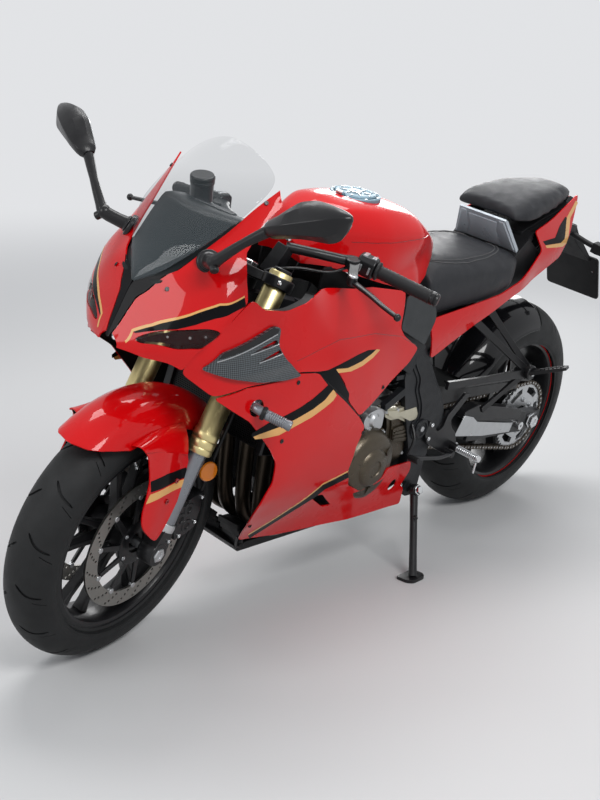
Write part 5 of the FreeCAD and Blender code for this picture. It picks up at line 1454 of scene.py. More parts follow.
# Radii of the chain's line about the rear and the front sprocket, and the latter's place
CHAIN_RADII = (103.0, 35.0)
FRONT_SPROCKET = (-78.0, 398.0)


def rear_sprocket():
    sprocket = Shape()
    teeth = []
    for i in range(TEETH):
        for k, r in ((0, 100), (0.22, 100.5), (0.42, 107), (0.58, 107), (0.78, 100.5)):
            t = TURN * (i + k) / TEETH
            teeth.append((r * cos(t), r * sin(t)))
    holes = [circle(0, 0, 30, 40)]
    for i in range(6):
        t = TURN * i / 6
        holes.append([(p * cos(q), p * sin(q)) for p, q in
                      ((72, t - 0.36), (88, t - 0.34), (90, t), (88, t + 0.34), (72, t + 0.36), (68, t))])
    sprocket.add(*slab(teeth, holes, 12, across_axle, 102, 110, LEFT))
    for a, b in around(6, 50, 0.5):
        sprocket.hexagon((a, 110, b), LEFT, 6, 8)
    sprocket.turned([(74, 26), (74, 60), (102, 66), (102, 26)], n=64)
    sprocket.make("rear_sprocket_toothed", "silver", ["rear_sprocket"], "disc_steel",
                  angle=30, **ON_REAR_WHEEL)


def chain():
    """Plates and pins of every link around both sprockets."""
    rear, front = np.array([REAR_X, REAR_Z]), np.array(FRONT_SPROCKET)
    gap = front - rear
    length = np.linalg.norm(gap)
    slope = atan2(gap[1], gap[0])
    r0, r1 = CHAIN_RADII
    up = slope + acos((r0 - r1) / length)
    down = slope - acos((r0 - r1) / length)
    path = []

    def arc(c, r, t0, t1):
        for t in np.linspace(t0, t1, 60):
            path.append(c + r * np.array([cos(t), sin(t)]))

    arc(rear, r0, down + TURN, up)
    arc(front, r1, up, down)
    path.append(path[0])
    pts = np.array(path)
    seg = np.linalg.norm(np.diff(pts, axis=0), axis=1)
    run = np.concatenate([[0], np.cumsum(seg)])
    count = 2 * round(run[-1] / CHAIN_PITCH / 2)
    at = np.linspace(0, run[-1], count, endpoint=False)
    joints_xz = np.stack([np.interp(at, run, pts[:, 0]), np.interp(at, run, pts[:, 1])], axis=1)
    shape = Shape()
    for i in range(count):
        a, b = joints_xz[i], joints_xz[(i + 1) % count]
        wide = 7.2 if i % 2 else 5.0
        for side in (1, -1):
            y = CHAIN_Y + side * wide
            d = (b - a) * 0.28
            ends = [(p[0], y, p[1]) for p in (a - d, b + d)]
            shape.beam(*ends, (1.8, 8), (1.8, 8), (0, 0.01, 1),
                       mids=((0.18, 1.8, 13), (0.5, 1.8, 9.5), (0.82, 1.8, 13)))
        shape.rod((a[0], 97.6, a[1]), (a[0], 114.4, a[1]), 2.6, n=8, chamfer=0.4, slot=1)
        shape.rod((a[0], 101.5, a[1]), (a[0], 110.5, a[1]), 5, n=10, chamfer=0.3)
    shape.make("drive_chain_links", ["chain", "silver"], ["drive_chain"], "chain_steel", angle=30)


# Fork, bars and fender

LEG_Y = 105
TUBE_START, TUBE_END = 235, 655
LOWER_CLAMP, UPPER_CLAMP = 478, 632


def fork_point(across, y, along):
    """Point of the upright bike from the leg's frame."""
    return Vector((front_axle.x + across * cos(RAKE) - along * sin(RAKE), y,
                   front_axle.z + across * sin(RAKE) + along * cos(RAKE)))


def fork():
    tubes, sliders = Shape(), Shape()
    for y in (LEG_Y, -LEG_Y):
        tubes.lathe((0, y, 0), TOP, [(TUBE_START, 22), (TUBE_START, 27), (TUBE_START + 4, 29),
                                           (TUBE_START + 12, 29),
              (TUBE_START + 14, 28), (TUBE_START + 16, 29), (TUBE_START + 30, 29), (TUBE_START + 32, 27.6),
              (TUBE_START + 34, 29), (TUBE_START + 48, 29), (TUBE_START + 52, 26), (TUBE_END - 3, 26),
                                           (TUBE_END, 24)])
        tubes.lathe((0, y, 0), TOP, [(TUBE_END, 20), (TUBE_END + 6, 20), (TUBE_END + 8, 18),
                                           (TUBE_END + 8, 9),
              (TUBE_END + 4, 9)], 1)
        sliders.lathe((0, y, 0), TOP, [(58, 18), (60, 20.5), (TUBE_START + 2, 20.5),
                                             (TUBE_START + 4, 19)])
        sliders.lathe((0, y, 0), TOP, [(52, 20), (53, 24), (62, 25), (70, 24), (72, 21)], 1)
    tubes.make("fork_tubes_gold", ["gold", "satin_black"], ["fork_tubes"], "gold_anodised", **ON_FORK)
    for y in (LEG_Y, -LEG_Y):
        s = 1 if y > 0 else -1
        sliders.rings([[(px, y + s * py, pz) for px,
                        pz in ((-20, -18), (14, -22), (24, -4), (22, 22), (16, 56),
                        (-16, 56), (-24, 20))] for py in (-19, 19)], 2)
        sliders.lathe((0, y - s * 20, 0), (0, s, 0),
                      [(0, 20), (0, 27), (3, 28), (37, 28), (40, 26), (40, 20)], 2)
        sliders.lathe((0, y + s * 18, 0), (0, s, 0), [(0, 17), (4, 17), (6, 15), (6, 9), (3, 8)], 1, n=6)
        sliders.socket((-12, y + s * 19, 34), (0, s, 0), 4.5, 4, 1)
    sliders.rod((0, -118, 0), (0, 118, 0), 11, slot=1)
    sliders.make("fork_legs_silver", ["slider_grey", "silver", "satin_black"], ["fork_sliders"],
                 "silver_metal", bevel=1.5, **ON_FORK)
    clamps = Shape()
    for along in (LOWER_CLAMP, UPPER_CLAMP):
        for s in (1, -1):
            clamps.beam((-35, 0, along), (-4, s * (LEG_Y - 12), along), (66, 20), (48, 18), TOP,
                        mids=((0.5, 44, 20),))
            clamps.lathe((0, s * LEG_Y, along - 12), TOP,
                         [(0, 26.5), (0, 34), (2, 35.5), (22, 35.5), (24, 34),
                  (24, 26.5)])
            clamps.socket((30, s * LEG_Y + s * 20, along), (0, s, 0), 5, 6, 1)
        clamps.lathe((-35, 0, along - 11), TOP, [(0, 37), (2, 38), (20, 38), (22, 36)])
    clamps.lathe((-35, 0, UPPER_CLAMP + 10), TOP, [(0, 20), (10, 20), (12, 17), (12, 9), (8, 8)], 1, n=6)
    clamps.make("fork_clamps", ["satin_black", "bright_silver"], ["triple_clamps"], "cast_black",
                bevel=2, **ON_FORK)


def handlebars():
    base = UPPER_CLAMP + 11
    bars, rubber, metal = Shape(), Shape(), Shape()
    for side in (1, -1):
        foot = fork_point(-26, side * 58, base)
        crook = Vector((384, side * 66, 931))
        bars.beam(foot, crook, (30, 34), (30, 30), (0, side, 0))
        bars.socket(crook + Vector((-4, 0, 14)), TOP, 6, 5, 1)
        hand, tip = Vector((276, side * 200, 924)), Vector((234, side * 356, 900))
        bars.tube([crook, (362, side * 98, 930.5), (340, side * 130, 930), (308, side * 166, 927), hand, tip],
                  11, smooth=8)
        along = (tip - hand).normalized()
        start = hand + (tip - hand) * 0.2
        rows = [(0, 12), (0, 20), (3, 21), (6, 20), (8, 15)]
        length = (tip - start).length
        for k in range(26):
            s = 10 + (length - 16) * k / 25
            rows += [(s, 14.4 if k % 2 else 15.2)]
        rows += [(length - 2, 16), (length, 15), (length, 12)]
        rubber.lathe(start, along, rows, n=32)
        metal.lathe(tip, along, [(0, 10), (0, 14), (2, 15), (9, 15), (10, 13.5), (12, 13.5), (13, 15),
                                 (17, 14.5), (19, 12),
                                  (19, 5)])
    bars.make("clip_on_bars", ["satin_black", "bright_silver"], ["handlebars"], "cast_black",
              bevel=2, **ON_BARS)
    rubber.make("handlebar_grips", "grip_rubber", angle=50, **ON_BARS)
    metal.make("bar_end_weights", "satin_black", **ON_BARS)


def controls():
    body, buttons = Shape(), Shape()
    for side in (1, -1):
        centre = Vector((270, side * 214, 921))
        turn = Matrix.Rotation(side * radians(15), 3, "Z") @ Matrix.Rotation(side * radians(-8), 3,
                                                                                  "X")

        def at(x, y, z, centre=centre, turn=turn, side=side):
            return centre + turn @ Vector((x, side * y, z))

        rows = []
        for y, grow in ((-28, -1), (-24, 2.4), (12, 2.4), (16, -2)):
            rows.append([at(px * (1 + grow / 18), y, pz * (1 + grow / 20)) for px, pz in
                         ((-17, -14), (-10, -19), (12, -19), (17, -10), (17, 12), (9, 20), (-10, 21),
                          (-17, 14))])
        body.rings(rows)
        for y, z, r in ((-6, 6, 4.5), (5, 7, 3.6), (-1, -8, 5)):
            a = at(-16, y, z)
            buttons.rod(a, at(-21, y, z), r, slot=0, n=14)
        buttons.beam(at(-16, 4, -10), at(-24, 12, -13), (7, 4), (5, 3), slot=1)
        for y, long in ((-15, 11), (5, 8)):
            buttons.beam(at(-long, y, 22.6), at(long, y, 22.6), (10, 5), (10, 5))
            buttons.beam(at(19.6, y, -10), at(19.6, y, 6), (10, 4), (10, 4))
        # Lever with its perch and pivot
        body.beam((296, side * 190, 925), (346, side * 222, 906), (26, 22), (22, 16), mids=((0.5, 20, 18),))
        body.lathe((298, side * 188, 914), (0.1, 0, 1), [(0, 15), (2, 17), (20, 17), (22, 15)])
        body.lathe((345, side * 222, 895), TOP, [(0, 8), (2, 10), (18, 10), (20, 8)])
        buttons.lathe((345, side * 222, 914), TOP, [(0, 10.5), (3.5, 10.5), (5, 8.5), (5, 3)], 0, n=24)
        body.tube([(300, side * 178, 912), (340, side * 158, 900), (390, side * 112, 900),
                   (428, side * 70, 888),
                   (446, side * 40, 862)], 3.6, smooth=8, n=10)
        spine = curve([(342, side * 222, 904), (352, side * 246, 902), (364, side * 284, 899),
                       (382, side * 326, 896),
                       (394, side * 368, 892)], 6)
        rings = []
        for i, p in enumerate(spine):
            d = Vector(spine[min(i + 1, len(spine) - 1)]) - Vector(spine[max(i - 1, 0)])
            d.normalize()
            flat = d.cross(Vector(TOP)).normalized()
            up = flat.cross(d)
            share = i / (len(spine) - 1)
            w, h = 8.5 - 2.5 * share, 6 - 1.5 * share
            rings.append([Vector(p) + flat * (w * cos(q)) + up * (h * sin(q))
                          for q in np.linspace(0, TURN, 14, endpoint=False)])
        body.rings(rings)
        body.ball((395, side * 372, 892), 8.2)
    # Brake fluid reservoir on its bracket, on the right
    body.lathe((452, -128, 976), (10, 0, 60), [(0, 20), (2, 25), (40, 25.6), (42, 27), (48, 27)], 0, n=36)
    body.lathe((460.1, -128, 1024), (10, 0, 60), [(0, 27), (3, 27.5), (9, 27.5), (12, 25), (12, 10)], 0, n=36)
    body.tube([(366, -104, 934), (398, -112, 952), (436, -122, 972), (454, -128, 982)], [6, 5, 5, 6],
              smooth=6)
    body.tube([(462, -114, 980), (440, -96, 950), (400, -110, 924), (356, -150, 912), (318, -180, 914)], 4.5,
              smooth=8)
    body.make("bar_controls", "satin_black", ["control_levers"], "cast_black", bevel=1.2, **ON_BARS)
    buttons.make("switch_buttons", ["silver", "red_line"], bevel=0.5, **ON_BARS)


BLADE_EDGE = [(190, 214), (170, 204), (156, 180), (142, 152), (136, 118), (133, 88), (120, 60), (86, 44),
              (46, 32), (31, 56), (24, 80), (16, 118), (10, 156), (11, 194), (26, 222), (38, 229)]


FENDER_CROWN = FRONT_R + 40


def fender():
    crown = FENDER_CROWN
    line = [(0, crown), (22, crown - 2.5), (40, crown - 8), (54, crown - 17), (64, crown - 30),
            (71, crown - 47),
            (75, crown - 66)]
    # How far down its section the crown reaches at each angle
    reach = [(-39, 6), (17, 6), (19.5, 5.8), (25.5, 4.7), (30, 3.6), (33, 2.4), (34.6, 1.2), (35, 0.3)]
    rows, columns = 49, 2 * len(line) - 1
    outer, inner = [], []
    for angle in np.linspace(-39, 35, rows):
        t = radians(angle)
        for q in np.linspace(-1, 1, columns) * np.interp(angle, *zip(*reach)):
            y, r = (np.interp(abs(q), range(len(line)), values) for values in zip(*line))
            x, y, z = r * sin(t), copysign(y, q), r * cos(t)
            k = (r - 3.2) / r
            outer.append((x, y, z))
            inner.append((x * k, y - copysign(min(2.6, abs(y)), y) * (abs(y) > 45), z * k))
    arch = grid_shell(outer, inner, columns, Shape(), flip=True)
    arch.make("front_fender_arch", "red", ["front_fender"], "red_paint", bevel=0.8, angle=50,
              matrix=FRONT_WHEEL, body="steering")

    def blade(across, along):
        across, along = np.asarray(across, float), np.asarray(along, float)
        y = 136 - 0.11 * along + 7 * np.sin(np.clip((across - 24) / 150, 0, 1) * pi) ** 2 - 3.5
        y = y - np.clip((along - 150) / 70, 0, 1) ** 2 * 5
        return np.stack([across, y, along], axis=1)

    panel("fender_blades", blade, rounded(BLADE_EDGE, 16), ["red", "black_plastic"], step=7, thick=3.2,
          bevel=1.0, **ON_FORK)
    band = [(143, 157), (98, 180), (24, 198), (13, 190), (13, 178), (76, 158), (131, 136)]
    gold = [(131, 131), (82, 153), (14, 175), (13, 157), (82, 134), (134, 110)]
    film("fender_band_black", blade, rounded(band, 1), "stripe_black", **ON_FORK)
    film("fender_band_gold", blade, rounded(gold, 1), "gold_stripe", **ON_FORK)
    bits = Shape()
    for across, along in ((50, 168), (62, 122)):
        spot = blade([across], [along])[0]
        bits.socket(spot, LEFT, 5.5, 4)
    bits.mirrored().make("fender_screws", "tail_red", **ON_FORK)


def fender_wings():
    """Curved joins from the crown to the blades' upper edges."""
    wings = Shape()
    for side in (1, -1):
        low = [fork_point(across, side * (132 - 0.11 * along), along)
               for across, along in ((36, 226), (96, 222), (150, 218), (189, 212))]
        high = [Vector((front_axle.x + x, side * 73.5, front_axle.z + sqrt((FENDER_CROWN - 52) ** 2 - x * x)))
                for x in (-70, -22, 28, 90)]
        grid = []
        for t in np.linspace(0, 1, 9):
            bulge = sin(pi * t)
            grid += [a * (1 - t) + b * t + Vector((0, side * 5, 6)) * bulge for a, b in zip(low, high)]
        grid_shell(grid, [v - Vector((0, side * 2, 3)) for v in grid], len(low), wings, flip=side > 0)
    wings.make("fender_wings", "red", bevel=0.8, angle=50, **ON_BARS)


def calipers():
    shape = Shape()
    prof = [(-146, 62), (-128, 46), (-92, 24), (-52, 66), (-58, 92), (-66, 112), (-92, 132), (-118, 146),
            (-138, 104)]
    for y0, y1, grow in ((44, 55.5, 0.94), (64, 92, 1.0)):
        mid = np.mean(np.array(prof), axis=0)
        pts = [tuple(mid + (np.array(p) - mid) * grow) for p in prof]
        shape.prism(pts, y0, y1)
    shape.prism([(-146, 62), (-128, 46), (-138, 104), (-118, 146)], 50, 88)
    for c in ((-112, 62), (-92, 100), (-78, 74)):
        shape.lathe((c[0], 88, c[1]), LEFT, [(0, 17), (4, 17), (6, 15), (6, 9), (4, 8)], 0, n=28)
    for c in ((-136, 74), (-120, 134), (-98, 36)):
        shape.socket((c[0], 92, c[1]), LEFT, 5, 4, 1)
    shape.beam((-66, 86, 52), (-20, LEG_Y, 66), (14, 16), (14, 20), LEFT)
    shape.beam((-74, 86, 112), (-20, LEG_Y, 118), (14, 16), (14, 20), LEFT)
    shape.tube([(-120, 84, 140), (-106, 90, 186), (-60, 112, 240), (-38, 122, 330), (-42, 116, 420)], 4.2,
               smooth=8, slot=2)
    shape.mirrored().make("front_caliper_bodies", ["satin_black", "bright_silver", "grip_rubber"],
                          ["front_calipers"], "cast_black", bevel=1.6, **ON_FORK)
    amber = Shape()
    spot = FORK.inverted() @ STEERED @ Vector((569, 109, 454))
    amber.lathe(spot, (0.35, 1, 0), [(0, 20), (4, 23), (7, 21), (8, 8)], n=36)
    amber.mirrored().make("amber_reflectors", "amber", **ON_FORK)


# Engine, exhaust and chassis

# Middles of the round covers on the engine's sides, in x and z
GENERATOR, CLUTCH, PUMP = (57, 364), (-8, 372), (150, 350)


def engine_covers():
    gx, gz = GENERATOR
    shape = Shape()
    rows = [(120, 98), (136, 98), (140, 95), (150, 93), (168, 86), (174, 78), (176, 58), (178, 50), (184, 46),
            (187, 40),
            (188, 22), (185, 20), (185, 0.1), (120, 0.1)]
    shape.lathe((gx, 0, gz), LEFT, rows, 0, n=72)
    for a, b in around(9, 93, 0.3):
        shape.lathe((gx + a, 122, gz + b), LEFT, [(0, 9), (18, 9), (20, 7.5)], n=16)
        shape.hexagon((gx + a, 141, gz + b), LEFT, 5, 7, 1)
    for i in range(3):
        t = TURN * i / 3 + 0.5
        shape.beam((gx + 52 * cos(t), 178, gz + 52 * sin(t)),
                   (gx + 82 * cos(t), 168, gz + 82 * sin(t)),
                   (8, 10), (8, 14), (-sin(t), 0, cos(t)))
    cover = [(-118, 340), (-70, 326), (-34, 330), (-20, 362), (-30, 400), (-26, 440), (-16, 470), (-30, 498),
             (-92, 500), (-112, 460), (-118, 430)]
    shape.prism(cover, 124, 137)
    shape.prism(shrink(cover, 14), 136, 141)
    for x, z in ((-108, 350), (-40, 340), (-104, 440), (-36, 486), (-88, 490)):
        shape.hexagon((x, 137, z), LEFT, 5, 6, 1)
    starter = [(8, 448), (40, 444), (72, 456), (86, 480), (74, 500), (36, 506), (8, 498)]
    shape.prism(rounded(starter, 9), 124, 146, 1)
    shape.rod((44, 144, 476), (44, 152, 476), 19, 15, 1, n=36, chamfer=2)
    case = [(12, 501), (-37, 497), (-46, 490), (-116, 490), (-132, 466), (-138, 443), (-95, 440), (-51, 462),
            (-21, 464), (4, 477)]
    shape.prism(rounded(case, 4), 124, 148, 2)
    shape.prism(shrink(case, 8), 146, 153, 2)
    rib = [(-42, 432), (-66, 436), (-126, 430), (-134, 390), (-120, 384), (-50, 398)]
    shape.prism(rounded(rib, 5), 130, 146)
    for k in range(3):
        shape.beam((-50, 147, 404 + 9 * k), (-124, 147, 394 + 12 * k), (3, 4), (3, 4), slot=0)
    for x, z in ((62, 456), (66, 494), (4, 492), (-40, 488), (-108, 482), (-126, 450)):
        shape.hexagon((x, 146, z), LEFT, 5, 6, 1)
    shape.make("left_engine_covers", ["bronze_case", "silver", "champagne"], ["engine_covers"],
               "bronze_cases", bevel=2.2)


def right_covers():
    """Clutch cover and a smaller round cover ahead of it."""
    (cx, cz), (px, pz) = CLUTCH, PUMP
    right = Shape()
    right.lathe((cx, 0, cz), (0, -1, 0), [(122, 104), (140, 104), (146, 98), (170, 92), (178, 84), (181, 70),
                                           (181, 0.1),
          (122, 0.1)], 0, n=72)
    for a, b in around(10, 98):
        right.hexagon((cx + a, -146, cz + b), (0, -1, 0), 5, 6, 1)
    right.lathe((px, 0, pz), (0, -1, 0), [(122, 66), (140, 66), (158, 58), (168, 52), (170, 40), (170, 0.1),
                                            (122, 0.1)],
          0, n=56)
    for a, b in around(6, 60):
        right.hexagon((px + a, -144, pz + b), (0, -1, 0), 4.5, 6, 1)
    right.make("right_engine_covers", ["bronze_case", "silver"], bevel=1.6)


def frame_covers():
    """Black covers over the frame's pivot plates, with the pivot's cap and a strut to the head."""
    shape = Shape()
    cover = [(-79, 645), (-125, 613), (-165, 557), (-202, 511), (-233, 462), (-243, 423), (-226, 393),
             (-200, 372),
             (-128, 386), (-108, 410), (-103, 439), (-127, 452), (-120, 485), (-92, 533), (-92, 560),
             (-60, 601),
             (-48, 624), (-56, 643)]
    shape.prism(rounded(cover, 10), 146, 155)
    shape.prism(shrink(rounded(cover, 10), 9), 154, 158)
    shape.beam((-118, 144, 566), (16, 144, 506), (16, 22), (16, 20), TOP)
    shape.beam((-118, 144, 574), (-8, 144, 580), (12, 12), (12, 12), TOP)
    shape.lathe((-143, 155, 419), LEFT, [(0, 20), (0, 26), (7, 26), (9, 24), (9, 19), (6, 18), (6, 0.1)],
                0, n=40)
    shape.rod((-143, 160, 419), (-143, 166, 419), 8, slot=1, n=6)
    shape.mirrored().make("frame_covers", ["frame_black", "silver"], bevel=2.2, segments=3)


def exhaust():
    pipes = Shape()
    for y, end_y in ((96, 62), (34, 21), (-34, -21), (-96, -62)):
        path = [(318, y, 590), (345, y, 578), (364, y, 545), (361, y * 0.98, 440), (352, y * 0.95, 330),
                (330, y * 0.87, 248), (270, y * 0.74, 205), (190, (y * 0.74 + end_y) / 2, 198),
                (110, end_y, 196)]
        pipes.tube(path, 19, smooth=9, n=24)
        pipes.lathe((318, y, 590), (0.9, 0, -0.45), [(0, 19), (0, 27), (8, 27), (9, 19)], 1)
    collector = []
    for x, y, w, h in ((122, 0, 170, 40), (100, 0, 168, 44), (40, -8, 130, 50), (-20, -18, 92, 56),
                       (-44, -21, 80, 54)):
        collector.append([(x, y + w / 2 * copysign(abs(cos(t)) ** 0.6, cos(t)),
                           198 + h / 2 * copysign(abs(sin(t)) ** 0.8, sin(t)))
                          for t in np.linspace(0, TURN, 40, endpoint=False)])
    pipes.rings(collector, 0)
    pipes.tube([(-30, -20, 198), (-80, -36, 199), (-130, -80, 202), (-180, -122, 206), (-230, -152, 212)], 26,
               smooth=8, n=28)
    pipes.make("exhaust_pipes", ["header_steel", "satin_black"], ["exhaust_system"], "header_steel")
    can = Shape()
    front, rear = Vector((-200, -148, 208)), Vector((-430, -212, 280))
    rings = []
    for t, w, h in ((0, 60, 66), (0.02, 74, 82), (0.08, 80, 90), (0.6, 86, 98), (0.93, 90, 104),
                    (0.98, 86, 100),
                    (1.0, 70, 84)):
        c, d = front.lerp(rear, t), (rear - front).normalized()
        across = d.cross(Vector(TOP)).normalized()
        up = across.cross(d)
        rings.append([c + across * (w / 2 * copysign(abs(cos(q)) ** 0.55, cos(q)))
                      + up * (h / 2 * copysign(abs(sin(q)) ** 0.55, sin(q)))
                      for q in np.linspace(0, TURN, 48, endpoint=False)])
    can.rings(rings)
    d = (Vector((-448, -217, 286)) - rear).normalized()
    can.lathe(Vector((-428, -211, 279)), d, [(0, 20), (0, 32), (20, 30), (20, 25), (4, 24), (4, 0.1),
                                             (0, 0.1)], 1)
    can.make("silencer", ["satin_black", "header_steel"], bevel=1)


# Half the distance between the middles of the swingarm's rear arms
ARM_Y = 134


def swingarm():
    z = REAR_Z
    pivot_x, pivot_z = -163, 409
    shape = Shape()
    for s in (1, -1):
        inner = 74 if s > 0 else 100
        shape.beam((pivot_x, s * inner, pivot_z), (-352, s * 80, 369), (34, 60), (34, 70),
                   mids=((0.2, 30, 64), (0.8, 30, 68)))
        shape.beam((-346, s * 82, 371), (-404, s * ARM_Y, 363), (34, 66), (30, 84))
        shape.beam((-394, s * ARM_Y, 365), (-668, s * ARM_Y, z + 4), (30, 88), (30, 62),
                   mids=((0.12, 30, 90), (0.3, 26, 84), (0.9, 28, 62)))
        shape.beam((-660, s * ARM_Y, z + 4), (-752, s * ARM_Y, z - 2), (30, 62), (30, 50),
                   mids=((0.2, 26, 60),))
        shape.rod((-752, s * 130, z - 2), (-764, s * 130, z - 2), 6, slot=1, n=6)
        shape.rod((-764, s * 130, z - 2), (-776, s * 130, z - 2), 4, slot=1, n=12)
        shape.lathe((REAR_X, s * 149, z), (0, s, 0), [(0, 12), (0, 23), (3, 23), (4, 20), (14, 20), (15, 18),
                                                    (15, 10),
              (12, 9)], 1, n=6)
        for k in range(7):
            shape.beam((-690 - k * 7, s * 149.4, z + 16), (-690 - k * 7, s * 149.4, z + 22), (1.6, 0.8),
                       (1.6, 0.8),
                       LEFT, slot=2)
    shape.beam((-306, -90, 378), (-306, 90, 378), (56, 62), (56, 62))
    shape.lathe((pivot_x, -118, pivot_z), LEFT, [(0, 12), (0, 29), (2, 30), (208, 30), (210, 29), (210, 12)])
    shape.lathe((pivot_x, -130, pivot_z), LEFT, [(0, 11), (0, 12), (260, 12), (260, 11)])
    shape.rod((REAR_X, -150, z), (REAR_X, 150, z), 11.5, slot=1)
    for y0, y1 in ((-119, -90), (104, 119)):
        shape.lathe((REAR_X, y0, z), LEFT, [(0, 12.5), (0, 19), (y1 - y0, 19), (y1 - y0, 12.5)], 1)
    shape.make("swingarm_castings", ["satin_black", "bright_silver", "silver"], ["swingarm"],
               "silver_metal", bevel=5, segments=3)
    plate = Shape()
    side = [(-322, 352), (-351, 408), (-395, 393), (-421, 374), (-560, 341), (-612, 330), (-602, 303),
            (-460, 322)]
    plate.prism(side, 149.6, 152)
    plate.mirrored()
    box = [(-344, 398), (-356, 418), (-409, 426), (-560, 388), (-650, 362), (-640, 336), (-425, 374)]
    plate.prism(rounded(box, 8), 119, 149.5, 1)
    plate.prism([(-246, 500), (-391, 470), (-560, 452), (-640, 436), (-634, 420), (-400, 438), (-290, 442),
                 (-240, 452)],
                118, 121, 1)
    plate.make("swingarm_side_plates", ["silver", "satin_black"], bevel=1.6)


def shock_absorber():
    shock = Shape()
    a, b = Vector((-236, 0, 420)), Vector((-150, 0, 600))
    d = (b - a).normalized()
    length = (b - a).length
    shock.lathe(a, d, [(0, 18), (0, 24), (60, 25), (64, 22), (64, 10), (length - 40, 10), (length - 38, 26),
                       (length, 26),
                        (length, 12)])
    side = d.orthogonal().normalized()
    other = d.cross(side)
    coil = [a + d * (34 + (length - 76) * k / 160) + side * (31 * cos(k * TURN / 22))
            + other * (31 * sin(k * TURN / 22)) for k in range(161)]
    shock.tube(coil, 5, smooth=1, slot=1, n=10)
    shock.make("shock_and_spring", ["silver", "satin_black"], ["shock_absorber"], "silver_metal")


def hugger():
    """Shell close over the rear tyre, narrower toward its front end."""
    guard = Shape()
    crown = REAR_R + 16
    line = [(0, crown), (30, crown - 3), (56, crown - 12), (76, crown - 25), (88, crown - 40),
            (96, crown - 54), (99, crown - 70)]
    full = [(-y, r) for y, r in line[:0:-1]] + line
    rings = []
    for i in range(41):
        t = radians(-4 + 66 * i / 40)
        k = 1 - 0.10 * max(0, (i - 32) / 8) ** 2
        outer = [(r * sin(t), y * k, r * cos(t)) for y, r in full]
        inner = [((r - 3) * sin(t), (y - copysign(2.6, y)) * k if abs(y) > 40 else y * k,
                  (r - 3) * cos(t)) for y, r in full]
        rings.append(outer + inner[::-1])
    guard.rings(rings)
    guard.make("rear_hugger_shell", "black_gloss", ["rear_hugger"], angle=40, bevel=0.6, matrix=REAR_WHEEL)


def rests():
    shape = Shape()
    for s in (1, -1):
        plate = [(-334, 480), (-310, 487), (-246, 434), (-236, 404), (-214, 396), (-190, 420), (-172, 436),
                 (-160, 400),
                 (-176, 372), (-236, 336), (-262, 322), (-306, 322), (-314, 346), (-300, 374), (-276, 396),
                 (-266, 420)]
        y0, y1 = (157, 165) if s > 0 else (-165, -157)
        shape.prism(rounded(plate, 6), y0, y1)
        shape.rod((-296, s * 160, 337), (-294, s * 186, 338), 11)
        a, b = Vector((-294, s * 178, 338)), Vector((-288, s * 262, 340))
        d = (b - a).normalized()
        rows = [(0, 6), (0, 8), (4, 9.5)]
        for k in range(12):
            rows += [(8 + k * 6, 6.4), (9 + k * 6, 9.5), (12 + k * 6, 9.5), (13 + k * 6, 6.4)]
        rows += [(82, 9), (84, 8), (84, 3)]
        shape.lathe(a, d, rows, 1, n=24)
        shape.rod((-284, s * 256, 330), (-281, s * 257, 300), 2.6, slot=1, n=10)
        shape.tube([(-276, s * 180, 324), (-240, s * 187, 330), (-200, s * 192, 336), (-130, s * 196, 354),
                    (-64, s * 198, 372)],
                   [7, 6, 5.5, 5.5, 6], smooth=6)
        shape.lathe((-64, s * 194, 372), (0, s, 0.05),
                    [(0, 5), (0, 7), (4, 8.5), (32, 8.5), (34, 7), (34, 2)], 2, n=20)
        shape.rod((-276, s * 158, 324), (-276, s * 188, 324), 9)
        for x, z in ((-180, 424), (-176, 386), (-312, 338)):
            shape.socket((x, s * 165, z), (0, s, 0), 6, 5, 1)
    shape.tube([(-70, 186, 372), (-90, 182, 410), (-100, 160, 440)], 4, smooth=5)
    shape.make("rider_rests", ["satin_black", "bright_silver", "grip_rubber"], ["rearsets"],
               "cast_black", bevel=1.4)
    rear = Shape()
    for s in (1, -1):
        rear.beam((-300, s * 134, 690), (-548, s * 184, 520), (12, 22), (12, 20), mids=((0.5, 9, 17),))
        rear.beam((-372, s * 130, 708), (-556, s * 186, 522), (12, 22), (12, 20), mids=((0.5, 9, 16),))
        rear.beam((-206, s * 168, 530), (-540, s * 184, 510), (10, 22), (10, 26), mids=((0.5, 8, 18),))
        rear.beam((-540, s * 184, 506), (-400, s * 166, 420), (10, 22), (10, 18), mids=((0.5, 8, 15),))
        rear.lathe((-556, s * 176, 514), (0, s, 0), [(0, 12), (0, 19), (3, 21), (25, 21), (28, 18), (28, 8)])
        rear.socket((-556, s * 203, 514), (0, s, 0), 8, 5, 1)
        rear.beam((-556, s * 200, 516), (-580, s * 290, 560), (34, 12), (26, 8),
                  mids=((0.3, 32, 10), (0.9, 30, 9)))
        for k in range(6):
            t = 0.3 + 0.11 * k
            c = Vector((-556, s * 200, 516)).lerp(Vector((-580, s * 290, 560)), t)
            rear.beam(c + Vector((-12, 0, 5.5)), c + Vector((12, 0, 5.5)), (4, 3), (4, 3), slot=2)
    rear.make("passenger_rest_hangers", ["satin_black", "bright_silver", "grip_rubber"],
              ["passenger_rests"], "cast_black", bevel=1.8)


